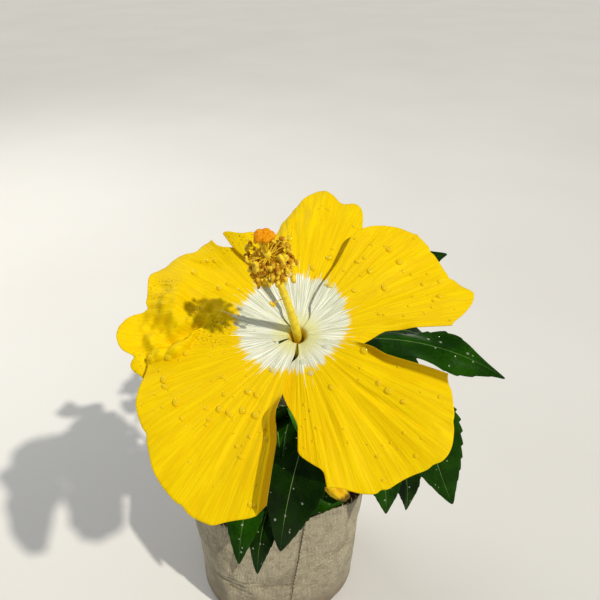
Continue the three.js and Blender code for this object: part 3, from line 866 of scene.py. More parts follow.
def add_leaf(shape, leaf, tint):
    before = len(shape.faces)
    lengthwise, across = LEAF_GRID[leaf_kind(leaf)]

    def surface(u, v):
        crowded = np.sign(v) * np.abs(v) ** CROWDING
        return placed(leaf_surface(leaf, u, toothed(u, crowded), leaf_relief(leaf, u, crowded)))

    grid, spots = sheet_of(shape, lengthwise, across, surface)
    off_rib = 2 * np.abs(spots[:, 1])
    middle = {corner for corner, off in zip(grid, off_rib) if off < RIB_STRIP / across}
    shape.faces.ensure_lookup_table()
    for face in shape.faces[before:]:
        face.material_index = RIB if all(corner in middle for corner in face.verts) else tint


def leaf_tint(leaf, roll):
    chance = roll()
    if leaf_kind(leaf) == "young":
        return FRESH if chance < FRESH_SHARE else MID
    # A leaf in the bloom's shade always takes the deep green, which is painted shade.
    return MID if chance < MID_SHARE and not leaf.get("shaded") else DEEP


# %% Leaves of each mass, one piece a mass
TINT_SEED = 3000
for name, group in leaves.items():
    roll = dice(SHOOTS[name]["seed"] + TINT_SEED)
    shape = bmesh.new()
    for leaf in group:
        add_leaf(shape, leaf, leaf_tint(leaf, roll))
    for face in walled(shape, BLADE_THICK * MM):
        if isinstance(face, bmesh.types.BMFace) and face.material_index != RIB:
            face.material_index = UNDER
    piece(f"leaves_{name}", shape, LEAF_FINISHES, [f"foliage_{name}"])

# %% [markdown]
# ## Stems, twigs and leaf stalks
# A limb is a curve with a round section and a thickness that tapers from point to point, so Blender's own
# curve bevel makes it. The curves become one mesh, their end caps are merged on, and all the green wood of
# a mass is one piece.


# %% Tubes along lines
MERGE = 0.02


def tubes(lines, rings, sides):
    """Capped tubes, each from a line in the plant's frame and its radii, all in mm."""
    path = bpy.data.curves.new("tubes", "CURVE")
    path.dimensions = "3D"
    path.bevel_depth = 1.0
    path.bevel_resolution = sides
    path.use_fill_caps = True
    for line, radii in lines:
        t = np.linspace(0, 1, rings)
        spline = path.splines.new("POLY")
        spline.points.add(rings - 1)
        for point, spot, radius in zip(spline.points, along(line, t), radii(t) + 0 * t):
            point.co = (*(placed(spot)), 1)
            point.radius = radius * MM
    shape = evaluated(bpy.data.objects.new("tubes", path))
    bpy.data.curves.remove(path)
    bmesh.ops.remove_doubles(shape, verts=shape.verts, dist=MERGE * MM)
    return outward(shape)


def petiole(leaf):
    """The bend from inside the stem to under the blade, as the solids have it."""
    root, rib = leaf_surface(leaf, np.array([0, 0.1]), np.array([0, 0]))
    start = np.asarray(leaf["start"], float)
    via = root - unit(rib - root) * np.linalg.norm(root - start) * 0.45
    return [start, via, rib]


# %% Green wood finish
green = Finish("green_stalk_skin")
spot = green.position()
streak = green.speckle(green.drawn_out(spot, 0.2), 700.0, 3.0)
green_tint = green.shade(streak, 0.3, 0.7, "4d6b26", "7f9a48")
green_skin = green.done(green_tint, 0.45 + 0.2 * streak, streak, 0.15)

# %% Green wood of each mass
PETIOLE = {"wide": 9, "thick": (0.95, 0.6), "thin": (0.7, 0.45)}
for name, group in leaves.items():
    stem, *twigs = stems[name]
    shape = tubes([(stem, taper(STEM))] + [(line, taper(TWIG_R)) for line in twigs], 16, 2)
    sizes = [PETIOLE["thick" if leaf["half"] > PETIOLE["wide"] else "thin"] for leaf in group]
    join(shape, tubes([(petiole(leaf), taper(size)) for leaf, size in zip(group, sizes)], 8, 1))
    piece(f"green_wood_{name}", shape, [green_skin])

# %% [markdown]
# ## Trunk and boughs in bark
# The old wood is one body: the boughs swell out of the trunk with no seam. Tubes are laid through the same
# lines, joined by a voxel remesh, eased so that the forks are filled, and then pushed in and out by two
# noises, one drawn out along the limb for the fissures and one fine for the corky pores.

# %% One body of old wood
BARK = {"voxel": 0.7, "below_soil": 1}
lines = [(TRUNK_LINE, trunk_radius)] + [(bough_line(shoot), taper(BOUGH)) for shoot in SHOOTS.values()]
shape = tubes(lines, 24, 4)
ground = (SOIL["height"] - BARK["below_soil"]) * MM
bmesh.ops.bisect_plane(
    shape,
    geom=shape.verts[:] + shape.edges[:] + shape.faces[:],
    plane_co=(0, 0, ground),
    plane_no=(0, 0, -1),
    clear_outer=True,
)
bmesh.ops.holes_fill(shape, edges=[edge for edge in shape.edges if edge.is_boundary])
wood = bpy.data.objects.new("rough_wood", settled("rough_wood", shape))
remesh = wood.modifiers.new("one_body", "REMESH")
remesh.mode = "VOXEL"
remesh.voxel_size = BARK["voxel"] * MM
shape = evaluated(wood)

# %% Eased forks, fissures and pores
FISSURES = (0.4, (0.55, 0.55, 0.09))
PORES = (0.18, (0.9, 0.9, 0.9))
every_way = {f"use_axis_{axis}": True for axis in "xyz"}
for _ in range(3):
    bmesh.ops.smooth_vert(shape, verts=shape.verts, factor=0.5, **every_way)
roughened(shape, FISSURES, PORES)

# %% Bark finish
bark = Finish("bark")
spot = bark.position()
grain = bark.speckle(bark.drawn_out(spot, 0.22), 420.0, 5.0, 0.6)
patch = bark.speckle(spot, 60.0, 3.0)
pores = bark.rise(bark.speckle(spot, 900.0, 1.0), 0.62, 0.7)
tint = bark.shade(grain, 0.3, 0.7, "5d4f3b", "a0937a")
tint = bark.over(tint, bark.rise(patch, 0.5, 0.75) * 0.6, "6d7048")
tint = bark.over(tint, pores * 0.7, "c2b69a")
bark_skin = bark.done(tint, 0.8 + 0.1 * grain, grain + pores * 0.4, 0.5)
old_wood = ["trunk"] + [f"bough_{name}" for name in SHOOTS]
piece("barked_limbs", shape, [bark_skin], old_wood)

# %% [markdown]
# ## The bloom's own frame
# The bloom is modelled as if it faced straight up, with its throat at the origin, because a flower is easy
# to describe round its own axis. One small turn then lays it over the front of the bag.

# %% From the bloom's frame to the plant's
ACROSS = unit(np.array([1.0, 0, 0]) - FACING * FACING[0])
BLOOM_AXES = np.array([ACROSS, np.cross(FACING, ACROSS), FACING])


def in_plant(points):
    return THROAT + np.asarray(points, float) @ BLOOM_AXES


def in_model(points):
    return placed(in_plant(points))


def hills(x, y, seed):
    """Smooth random hills about one unit wide, from -1 to 1."""
    ix, iy = np.floor(x), np.floor(y)
    fx, fy = smooth(x - ix), smooth(y - iy)

    def corner(a, b):
        return 2 * ((np.sin(a * 127.1 + b * 311.7 + seed * 74.7) * 43758.5453) % 1) - 1

    low = mix(corner(ix, iy), corner(ix + 1, iy), fx)
    high = mix(corner(ix, iy + 1), corner(ix + 1, iy + 1), fx)
    return mix(low, high, fy)


# %% [markdown]
# ## Five petals
# A petal leaves the throat as a narrow claw, fans out over a common dish and laps over its neighbour like a
# pinwheel. The solids give that much, and the margins are drawn here a few millimetres closer to the photo.
# Life is in what comes on top: ribs that fan with the petal, a frill at the margin, pleats, and the folds
# of this one bloom. Two margins stand up and fall into shade, one rolls back, and the crumpled left petal
# goes under the lower left one. Each of these is a small lift along the bloom's axis, so all of them add up
# over the same surface.

# %% The petals' shapes
DISH = {"middle": 6, "depth": 30, "droop": 0.003, "level_to": 40}
CLAW = {"radius": 1.7, "angle": 35, "end": 8, "flare": 0.55, "waist": 14.5}
LAP = {"slopes": (0.14, 0.14), "blend": 0.8}
RUFFLE = {"waves": 7, "height": 1.5, "from": 20, "ease": 50}
PETALS = {
    "petal_top": {
        "claw": 92,
        "waist": (50, 119),
        "margin": (58, 123.4),
        "blend": (34, 54),
        "reach": [65.5, 10.1, -5.2, -8.1, -0.8, 0, -1.2, -1.9, -1.2, -1.6],
    },
    "petal_left": {
        "claw": 164,
        "waist": (106, 186),
        "margin": (128, 199),
        "blend": (38, 60),
        "overlap": (0.14, 0.02),
        "reach": [69, -0.2, -2.3, 0.4, -3.2, 1.1, 1.3, -0.3],
    },
    "petal_lower_left": {
        "claw": -124,
        "claw_half": 27,
        "waist": (-189, -102),
        "margin": (-170.5, -98),
        "blend": (34, 49),
        "overlap": (-0.03, 0.14),
        "reach": [72.3, -5.1, -4.3, 1.7, -2.2, 0.2, -1.1, 0.1],
    },
    "petal_lower_right": {
        "claw": -52,
        "waist": (-109, -11),
        "margin": (-90, -20),
        "blend": (18, 38),
        "lobe": (46, 56, 10, 0),
        "reach": [68, -1.6, -4.6, 1.1, -1.3, -0.8, 0, 0.2],
    },
    "petal_right": {
        "claw": 20,
        "waist": (-14, 67),
        "margin": (5, 62.5),
        "blend": (16, 38),
        "lobe": (50, 72, 0, -10.5),
        "reach": [72.7, 1.3, -1.4, -0.9, -2.7, -1.2, -0.5, 0],
    },
}


# Nicks and small lobes of the margins: the place from side to side, the width and the depth.
NICKS = {
    "petal_left": [
        (-1.0, 0.08, -2),
        (-0.78, 0.07, -1.6),
        (-0.62, 0.14, 2.4),
        (-0.4, 0.12, -0.8),
        (0.13, 0.05, -2.6),
        (0.25, 0.06, 1.2),
        (0.65, 0.04, -2.6),
        (0.76, 0.06, 2),
    ],
    "petal_lower_left": [(-0.3, 0.05, -0.8), (0.35, 0.04, -0.7), (0.62, 0.05, 0.7), (0.9, 0.14, 3.2)],
    "petal_lower_right": [(-0.45, 0.04, -0.8), (0.1, 0.05, -0.7), (0.55, 0.04, -0.6), (1.0, 0.08, -2.5)],
    "petal_right": [
        (-1.0, 0.1, -3),
        (-0.2, 0.04, -1.2),
        (0.3, 0.05, -0.8),
        (0.62, 0.04, 0.8),
        (1.0, 0.07, -3),
    ],
    "petal_top": [(-0.35, 0.05, -0.9), (0.2, 0.04, 0.7), (1.0, 0.12, 2.6)],
}


# %% How far a petal reaches, and where it turns
def petal_reach(name, v):
    waves = sum(a * np.cos(k * np.pi * (v + 1) / 2) for k, a in enumerate(PETALS[name]["reach"]))
    return waves + sum(depth * np.exp(-(((v - place) / width) ** 2)) for place, width, depth in NICKS[name])


def petal_radius(name, u, v):
    """The distance from the throat, with the rows crowded toward it."""
    return mix(CLAW["radius"], petal_reach(name, v), u**1.25)


def petal_turn(form, r, v):
    """The bearing in radians, at a distance from the throat."""
    s = (v + 1) / 2
    low, high = form["blend"]
    fan = smooth((r - low) / (high - low))
    spread = mix(mix(*form["waist"], s), mix(*form["margin"], s), fan)
    low, high, *drawn_back = form.get("lobe", (0, 1, 0, 0))
    spread = spread + smooth((r - low) / (high - low)) * mix(*drawn_back, s)
    root = form["claw"] + form.get("claw_half", CLAW["angle"]) * v
    return np.radians(mix(root, spread, smooth((r - CLAW["end"]) / (CLAW["waist"] - CLAW["end"]))))


# %% The folds of this bloom, in the bloom's frame
# Margins that stand up or roll back: side (-1 clockwise, 1 counterclockwise), the stretch from foot to
# margin, the width at both ends of it, and the lift.
SIDE_FOLDS = {
    "petal_top": [(-1, (0.5, 1.0), (11, 3), 2.4), (1, (0.5, 1.4), (12, 12), -4)],
    "petal_left": [(-1, (0.5, 1.0), (12, 12), 2)],
    "petal_lower_left": [(1, (0.42, 1.0), (3.4, 4.2), 8)],
    "petal_lower_right": [(1, (0.4, 1.0), (1.2, 2.6), 4.5)],
    "petal_right": [(-1, (0.4, 0.8), (4, 4), -2)],
}
# Outer margins: the stretch from side to side, the width and the lift.
END_FOLDS = {
    "petal_top": [((-0.1, 0.75), 9, -4.5)],
    "petal_left": [((0.1, 0.8), 7, 2.5), ((-0.8, -0.2), 6, -2)],
    "petal_right": [((-0.6, 0.1), 4, -1.5)],
    "petal_lower_right": [((-0.4, 0.3), 4, -1)],
}
# Ridges and creases: both ends, the width and the height.
RIDGES = {
    "petal_top": [((11.8, 76), (3.2, 49.7), 3.5, 2.0), ((-12, 58), (-6, 34), 4, -1.2)],
    "petal_left": [
        ((-50.9, -11.5), (-37.4, 0.3), 2.2, 3.2),
        ((-56, -4), (-41, 4), 3, -2.2),
        ((-62, 6), (-36, 9), 3, 1.8),
        ((-58, 20), (-34, 17), 4, -1.5),
        ((-46, 33), (-26, 22), 3.5, 1.2),
        ((-38, 2.5), (-53, -9.5), 1.8, 2.6),
        ((-40.5, 5), (-51, -3), 1.2, -1.7),
        ((-44, 6.5), (-55, -1), 1.3, 1.5),
        ((-47, 2), (-57, -6), 1.2, -1.5),
        ((-67, 8), (-56, 2), 3.5, -2.8),
        ((-62.5, -1), (-61.5, -18), 1.4, -1.9),
        ((-58.5, -1), (-57.5, -13), 3.0, 2.6),
        ((-51, 28), (-52, 9), 8.0, 3.4),
        ((-68, 14), (-66, 0), 5.0, -2.0),
        ((-63, 27), (-53, 20), 3.0, -2.2),
        ((-48, 40), (-36, 34), 1.6, -1.2),
    ],
    "petal_lower_left": [((-50, -28), (-24, -16), 3, 0.9), ((-30, -58), (-15, -32), 3, -0.9)],
    "petal_lower_right": [
        ((22, -22), (50, -42), 1.6, -1.1),
        ((18, -24), (38, -50), 1.8, -0.9),
        ((12, -24), (22, -60), 2.5, 0.8),
        ((30, -20), (62, -30), 2.5, 0.7),
    ],
    "petal_right": [((22, 14), (66, 24), 2.5, -0.8), ((20, 20), (58, 42), 3, 0.8)],
}
CRUMPLE = {"petal_left": ((-50, 3), 22, 2.3), "petal_top": ((-4, 64), 16, 0.8)}
TUCK = {"drop": 2.6, "before": 0.015, "over": 0.1, "from": 12, "ease": 6}
STANDING = 4
EASE = {"standing": 0.2, "rolled": 0.1, "end": 0.25}


def side_lift(form, fold, r, u, v):
    side, (low, high), widths, lift = fold
    gap = r * np.abs(petal_turn(form, r, v) - petal_turn(form, r, side + 0 * v))
    width = mix(*widths, smooth((u - low) / (high - low)))
    if lift > 0:
        reach = smooth((u - low) / EASE["standing"])
    else:
        reach = smooth((u - low) / EASE["rolled"]) * smooth((high - u) / EASE["rolled"])
    return lift * np.clip(1 - gap / width, 0, 1) ** 1.1 * reach * (side * v > 0)


def end_lift(fold, r, end, v):
    (low, high), width, lift = fold
    reach = smooth((v - low) / EASE["end"]) * smooth((high - v) / EASE["end"])
    return lift * np.clip(1 - (end - r) / width, 0, 1) ** 1.5 * reach


def ridge_lift(ridge, x, y):
    (x0, y0), (x1, y1), width, height = ridge
    along_it = (x - x0) * (x1 - x0) + (y - y0) * (y1 - y0)
    run = np.clip(along_it / ((x1 - x0) ** 2 + (y1 - y0) ** 2), 0, 1)
    gap = np.hypot(x - mix(x0, x1, run), y - mix(y0, y1, run))
    return height * np.exp(-((gap / width) ** 2)) * np.sin(np.pi * mix(0.15, 0.85, run))


def crumple_lift(name, x, y):
    (cx, cy), size, depth = CRUMPLE[name]
    seed = list(PETALS).index(name)
    near = smooth(1.3 - np.hypot(x - cx, y - cy) / size)
    return depth * near * (hills(x / 5, y / 6, seed + 40) + 0.5 * hills(x / 2.4, y / 2.8, seed + 50))


def tucked(r, turn):
    """How far the left petal has gone under the lower left one, from 0 to 1."""
    margin = petal_turn(PETALS["petal_lower_left"], r, -1 + 0 * r) + 2 * np.pi
    past = smooth((turn - margin + TUCK["before"]) / TUCK["over"])
    return past * smooth((r - TUCK["from"]) / TUCK["ease"])


# %% Ribs, swell and frill
# Ribs: the height, the degrees across, the length and the seed.
RIBS = [(0.3, 2.6, 45, 0), (0.14, 1.1, 25, 9)]
SWELL = {"height": 0.7, "size": 17, "from": 18, "ease": 30}
FRILL = {"height": 0.8, "fade": 5, "degrees": 3.1, "sway": 14}
OPEN = {"from": 9, "ease": 16}


def rib_lift(name, v, r, turn):
    seed = list(PETALS).index(name)
    x, y, fan = r * np.cos(turn), r * np.sin(turn), np.degrees(turn)
    ribs = sum(height * hills(fan / across, r / size, seed + more) for height, across, size, more in RIBS)
    swell = SWELL["height"] * hills(x / SWELL["size"], y / SWELL["size"], seed + 20)
    sway = 3 * hills(fan / FRILL["sway"], 0 * r, seed + 30)
    frill = np.exp((r - petal_reach(name, v)) / FRILL["fade"]) * np.sin(fan / FRILL["degrees"] + sway)
    open_part = smooth((r - OPEN["from"]) / OPEN["ease"])
    swelling = swell * smooth((r - SWELL["from"]) / SWELL["ease"])
    return open_part * (ribs + FRILL["height"] * frill) + swelling


# %% The whole surface of a petal
def dish(r):
    flare = DISH["depth"] * np.exp((CLAW["radius"] - r) / CLAW["flare"])
    return DISH["middle"] - flare - DISH["droop"] * np.maximum(r - DISH["level_to"], 0) ** 2


def petal_surface(name, u, v):
    form = PETALS[name]
    r, end = petal_radius(name, u, v), petal_reach(name, v)
    turn = petal_turn(form, r, v)
    x, y = r * np.cos(turn), r * np.sin(turn)
    middle = np.radians(sum(form["waist"] + form["margin"]) / 4)
    lap = mix(*form.get("overlap", LAP["slopes"]), smooth((turn - middle) / LAP["blend"] + 0.5))
    ruffle = smooth((r - RUFFLE["from"]) / RUFFLE["ease"]) * np.sin(RUFFLE["waves"] * turn)
    bed = dish(r) + RUFFLE["height"] * ruffle
    z = bed + lap * (turn - middle) * r + rib_lift(name, v, r, turn)
    z = z + sum(side_lift(form, fold, r, u, v) for fold in SIDE_FOLDS.get(name, []))
    z = z + sum(end_lift(fold, r, end, v) for fold in END_FOLDS.get(name, []))
    z = z + sum(ridge_lift(ridge, x, y) for ridge in RIDGES.get(name, []))
    if name in CRUMPLE:
        z = z + crumple_lift(name, x, y)
    if name == "petal_left":
        z = mix(z, bed - TUCK["drop"], tucked(r, turn))
    return np.column_stack([x, y, z])


# This share sets how much painted shade the finish lays on a standing margin.
def fold_shade_share(name, u, v):
    """How far up the standing margin a point lies, from 0 to 1."""
    r = petal_radius(name, u, v)
    standing = [fold for fold in SIDE_FOLDS.get(name, []) if fold[3] > STANDING]
    return sum(side_lift(PETALS[name], fold, r, u, v) / fold[3] for fold in standing) + 0 * u


# %% [markdown]
# ## The petals' finish
# The colour depends on where a point lies round the throat, so the shader first works out its distance and
# bearing there. Round the throat is a white eye with greenish veins; its edge breaks up into rays that run
# out into the yellow. Beyond it, the yellow is darker along the ribs. A little light passes through the
# petal, and the margins that stand up are painted orange-brown: painted shade.

# %% Petal finish: where each point lies round the throat
EYE = {"middle": 22, "swing": 7, "toward": math.radians(112), "lobes": 11, "rays": 8}
SILK = {"Subsurface_Radius": (1.0, 0.6, 0.05), "Subsurface_Scale": 0.0012}
RIB_DRIFT = 0.0012
petal = Finish("petal_silk", Subsurface_Weight=0.12, Specular_IOR_Level=0.06, **SILK)
spot = petal.position()
start = petal.away_from(spot, placed(THROAT))
x, y = (petal.measure(start, axis) for axis in BLOOM_AXES[:2])
r = (x * x + y * y) ** 0.5
bearing = petal.joined(x / r, y / r, r * RIB_DRIFT)

# %% Ribs, veins and the edge of the eye
ribs = petal.speckle(bearing, 16.0, 2.0, 0.6)
fine_ribs = petal.speckle(bearing, 60.0, 2.0, 0.6)
veins = 1 - petal.rise(petal.math("ABSOLUTE", petal.speckle(bearing, 34.0, 1.0) - 0.5), 0.02, 0.1)
eye = (x / r) * math.cos(EYE["toward"]) + (y / r) * math.sin(EYE["toward"])
spikes = petal.rise(fine_ribs, 0.6, 0.76) * EYE["rays"]
eye_edge = r - EYE["middle"] - eye * EYE["swing"] - (ribs - 0.5) * EYE["lobes"] - spikes
in_eye = 1 - petal.rise(eye_edge, -1.0, 1.5)

# %% The yellow, and the white of the eye
cloud = petal.speckle(petal.joined(x, y), 0.05, 2.0)
yellow = petal.shade(ribs * 0.5 + fine_ribs * 0.5, 0.38, 0.62, "eec600", "f2ce00")
yellow = petal.over(yellow, petal.rise(cloud, 0.4, 0.75) * 0.5, "f4d200")
yellow = petal.over(yellow, veins * 0.25, "d8a800")
white = petal.shade(fine_ribs, 0.36, 0.55, "dcddba", "f8f7e6")
white = petal.over(white, veins * 0.6, "a9ae88")
for low, high, code in ((5.0, 13.0, "e6e3a0"), (2.6, 5.0, "ecc92c")):
    white = petal.over(white, 1 - petal.rise(r, low, high), code)
tint = petal.blend(in_eye, yellow, white)

# %% Painted shade on the standing folds, brown specks and relief
# Patches of specks: the middle in the bloom's frame and the size, in mm.
SPECKS = [(-58, 23, 10), (-62, -10, 7), (-30, 50, 12), (-18, 52, 8), (-34, 2, 10)]
fold = petal.node("Attribute", {"attribute_name": "fold"}, out=2)
# The standing margins are painted a darker orange-brown by the fold layer: painted shade.
tint = petal.over(tint, petal.rise(fold, 0.05, 0.3) * 0.75, "a57a02")
dots = petal.rise(petal.speckle(petal.joined(x, y), 1.1, 1.0), 0.6, 0.66)
for cx, cy, size in SPECKS:
    gap = ((x - cx) * (x - cx) + (y - cy) * (y - cy)) ** 0.5
    tint = petal.over(tint, dots * (1 - petal.rise(gap, 0.4 * size, size)) * 0.7, "8a5f06")
relief = ribs * 0.6 + fine_ribs * 0.5 - veins * 0.25 + petal.speckle(spot, 1500.0, 1.0) * 0.1
petal_skin = petal.done(tint, 0.5 + 0.2 * fine_ribs, relief, 0.22)

# %% Petals, one piece each
PETAL_GRID = (120, 150)
PETAL_THICK = 0.45
for name in PETALS:
    shape = bmesh.new()
    layer = shape.verts.layers.float.new("fold")
    grid, spots = sheet_of(shape, *PETAL_GRID, lambda u, v: in_model(petal_surface(name, u, v)))
    # The share goes into the fold layer, where the finish paints shade.
    for corner, share in zip(grid, fold_shade_share(name, spots[:, 0] + 0.5, 2 * spots[:, 1])):
        corner[layer] = share
    walled(shape, PETAL_THICK * MM)
    volume = shape.calc_volume(signed=True)
    piece(f"ruffled_{name}", shape, [petal_skin], [name])
    print("   holds", round(volume / MM**3), "cubic mm")

# %% [markdown]
# ## Column, stamens and stigmas
# A hibiscus fuses its stamens into a tube round the style. Near its end the tube sheds short threads, each
# with a kidney-shaped anther dusted with pollen, and the style's five arms come out at the tip with velvety
# pads. The tube and threads are tubes along lines; anthers and pads start from a ball that is squeezed.

# %% Column line and small balls
COLUMN = {"foot": (0, 0, -24.1), "bend": (2.4, 1.2, 4), "length": 57, "radii": (2.3, 1.25)}
COLUMN_LEAN = np.array([-0.187, -0.354, 0.916])
COLUMN_BUMPS = (0.22, (0.42, 0.42, 0.42))
column_tip = unit(BLOOM_AXES @ COLUMN_LEAN) * COLUMN["length"]
column_line = [in_plant(p) for p in (COLUMN["foot"], COLUMN["bend"], column_tip)]


def sideways(ahead, turn):
    """A direction at a right angle to another, at a turn round it."""
    first = unit(np.cross(ahead, [0.2, 0.9, 0.1]))
    return first * math.cos(turn) + np.cross(ahead, first) * math.sin(turn)


def add_ball(shape, at, size, squeeze=(1, 1, 1), facing=(0, 0, 1), detail=1):
    """Adds a ball at a place in the plant's frame, squeezed, with its own Z along facing."""
    turn = Vector(facing).to_track_quat("Z", "Y").to_matrix().to_4x4()
    matrix = Matrix.Translation(Vector(placed(at))) @ turn @ Matrix.Diagonal((*squeeze, 1))
    return bmesh.ops.create_icosphere(shape, subdivisions=detail, radius=size * MM, matrix=matrix)["verts"]


# %% Finishes of the column
def grainy(name, dark, light, scale, depth, roughness, **plain):
    skin = Finish(name, **plain)
    grains = skin.speckle(skin.position(), scale, 3.0)
    tint = skin.shade(grains, 0.35, 0.65, dark, light)
    return skin.done(tint, roughness + 0.1 * grains, grains, depth)


column_skin = grainy("column_skin", "edcf1e", "f9e548", 400.0, 0.15, 0.42, Specular_IOR_Level=0.25)
thread_skin = grainy("thread_skin", "dcae10", "efc92a", 800.0, 0.1, 0.5, Specular_IOR_Level=0.2)
anther_skin = grainy("anther_skin", "b87606", "fadc38", 420.0, 0.4, 0.75, Specular_IOR_Level=0.2)
pollen_skin = grainy("pollen_skin", "e8b40c", "f8d630", 2500.0, 0.2, 0.8, Specular_IOR_Level=0.2)
pad_skin = grainy("stigma_velvet", "e08200", "fca90c", 2200.0, 0.4, 0.85, Specular_IOR_Level=0.15)

# %% The column
shape = roughened(tubes([(column_line, taper(COLUMN["radii"]))], 60, 5), COLUMN_BUMPS)
piece("stamen_column", shape, [column_skin], ["staminal_column"])

# %% Threads on the column's upper part
STAMENS = {"count": 124, "first": 0.885, "last": 0.985, "length": 7.0, "radii": (0.28, 0.18)}
roll = dice(77)
threads, ends = [], []
for i in range(STAMENS["count"]):
    t = mix(STAMENS["first"], STAMENS["last"], (i / STAMENS["count"]) ** 0.9)
    ahead = heading_at(column_line, t)
    way = unit(sideways(ahead, math.radians(GOLDEN_TURN * i)) + ahead * mix(-0.1, 0.5, roll()))
    foot = along(column_line, t)
    tip = foot + way * (taper(COLUMN["radii"])(t) + STAMENS["length"] * mix(0.55, 1.02, roll()))
    bend = mix(foot, tip, 0.6) + ahead * mix(-0.5, 1.2, roll())
    threads.append(([foot, bend, tip], taper(STAMENS["radii"])))
    ends.append((tip, way))

# %% Two stamens that grow lower down
# The height on the column, the bearing in degrees and the reach.
APART = ((43, 0, 6.2), (29, 205, 5.5))
steps = np.linspace(0, 1, 200)
heights = (along(column_line, steps) - THROAT) @ FACING
for height, degrees, reach in APART:
    t = float(steps[np.argmin(np.abs(heights - height))])
    foot, ahead = along(column_line, t), heading_at(column_line, t)
    turn = math.radians(degrees)
    way = unit(ACROSS * math.cos(turn) + BLOOM_AXES[1] * math.sin(turn) - 0.1 * ahead)
    tip = foot + way * reach
    threads.append(([foot, foot + way * reach * 0.5 + ahead, tip], taper(STAMENS["radii"])))
    ends.append((tip, way))
piece("stamen_threads", tubes(threads, 5, 0), [thread_skin])

# %% Anthers and pollen
ANTHER = {"size": 1.1, "squeeze": (0.72, 1.3, 0.8), "waist": 0.7, "pinch": 0.35}
POLLEN = {"each": 4, "size": 0.2}
ANY_TURN = 6.3
shape, dust = bmesh.new(), bmesh.new()
for tip, way in ends:
    size = ANTHER["size"] * mix(0.7, 1.3, roll())
    tilt = unit(way + 0.6 * sideways(way, ANY_TURN * roll()))
    kidney = add_ball(shape, tip, size, ANTHER["squeeze"], tilt, 2)
    middle, waist = Vector(placed(tip)), Vector(placed(tip + tilt * size))
    for corner in kidney:
        near = math.exp(-(((corner.co - waist).length / (ANTHER["waist"] * size * MM)) ** 2))
        corner.co += (middle - corner.co) * ANTHER["pinch"] * near
    for _ in range(POLLEN["each"]):
        out = sideways(unit(tilt + 0.4 * way), ANY_TURN * roll())
        grain = tip + out * size * mix(0.7, 1.0, roll())
        add_ball(dust, grain + tilt * mix(-0.6, 0.6, roll()), POLLEN["size"])
piece("anthers", shape, [anther_skin])
piece("pollen", dust, [pollen_skin])

# %% Style arms and their pads
STYLE = {"arms": 5, "length": 8.5, "aside": 1.6, "spread": 2.1, "squeeze": 0.6, "radii": (0.6, 0.5)}
PAD = {"size": 1.85, "squeeze": (1, 1, 0.72), "velvet": 0.07, "fineness": 2600}
end, ahead = along(column_line, 1), heading_at(column_line, 1)
arms, shape = [], bmesh.new()
for i in range(STYLE["arms"]):
    turn = i / STYLE["arms"] * 2 * math.pi
    way = ACROSS * math.cos(turn) + BLOOM_AXES[1] * STYLE["squeeze"] * math.sin(turn)
    tip = end + ahead * STYLE["length"] + way * STYLE["spread"] + ACROSS * STYLE["aside"]
    bend = end + ahead * STYLE["length"] * 0.7 + way
    arms.append(([end - ahead * 2, bend, tip], taper(STYLE["radii"])))
    add_ball(shape, tip, PAD["size"], PAD["squeeze"], unit(ahead + 0.5 * way), 3)
slant = Vector((1, 1, 1)).normalized()
for corner in shape.verts:
    corner.co += slant * PAD["velvet"] * MM * noise.noise(corner.co * PAD["fineness"])
piece("style_arms", tubes(arms, 8, 2), [thread_skin])
piece("stigma_pads", shape, [pad_skin])

# %% [markdown]
# ## Calyx, bracts and the bloom's stalk
# Under the petals sits a green cup with five teeth, and under that a ring of narrow bracts. The cup is a
# short profile spun round the bloom's axis: the spin gives the cup, and drawing its rim up five times round
# gives the teeth.

# %% Calyx cup
CALYX = {"teeth": 5, "tooth": 6, "turn": 0.3, "teeth_from": -16, "ease": 6, "wall": 0.9, "steps": 90}
CUP_RADII = (0, 2.6, 4.6, 6, 6.6, 6.9, 7.4, 8.2, 9, 10)
CUP_HEIGHTS = (-31, -31, -30.1, -29, -27, -25, -21, -17, -13.5, -10)


def spun(profile, steps):
    """A profile of (radius, height) in mm spun round +Z, with its poles closed."""
    shape = bmesh.new()
    corners = [shape.verts.new((radius, 0, height)) for radius, height in profile]
    edges = [shape.edges.new(pair) for pair in zip(corners, corners[1:])]
    bmesh.ops.spin(
        shape,
        geom=corners + edges,
        cent=(0, 0, 0),
        axis=(0, 0, 1),
        angle=2 * math.pi,
        steps=steps,
        use_merge=True,
    )
    bmesh.ops.remove_doubles(shape, verts=shape.verts, dist=1e-5)
    return outward(shape)


shape = spun(zip(CUP_RADII, CUP_HEIGHTS), CALYX["steps"])
walled(shape, CALYX["wall"])
for corner in shape.verts:
    x, y, z = corner.co
    turn = math.atan2(y, x)
    point = math.cos(CALYX["teeth"] / 2 * (turn + CALYX["turn"])) ** 2
    share = (1.15 * point - 0.15) * float(smooth((z - CALYX["teeth_from"]) / CALYX["ease"]))
    swell = 1 + 0.03 * math.cos(15 * turn) + 0.2 * max(share, 0)
    corner.co = in_model([(x * swell, y * swell, z + CALYX["tooth"] * share)])[0]
outward(shape)

# %% Bracts under the cup
# The midline runs through three points, each a distance from the axis and a height.
BRACT = {"count": 7, "line": [(3, -29.4), (11, -30), (15, -19)], "half": 1.5, "hollow": 0.3, "thick": 0.7}
for i in range(BRACT["count"]):
    turn = i / BRACT["count"] * 2 * math.pi
    way = np.array([math.cos(turn), math.sin(turn), 0])
    flank = np.array([-way[1], way[0], 0])
    midline = [way * out + [0, 0, up] for out, up in BRACT["line"]]

    def bract(u, v):
        half = BRACT["half"] * np.sin(np.pi * mix(0.22, 0.97, u)) ** 0.7
        hollow = np.outer(v * v, way * BRACT["hollow"])
        return in_model(along(midline, u) + np.outer(half * v, flank) + hollow)

    sheet = bmesh.new()
    sheet_of(sheet, 14, 4, bract)
    walled(sheet, BRACT["thick"] * MM)
    join(shape, outward(sheet))
calyx_skin = grainy("calyx_skin", "56762a", "87a544", 260.0, 0.3, 0.6, Sheen_Weight=0.2)
piece("calyx_cup", shape, [calyx_skin], ["calyx"])

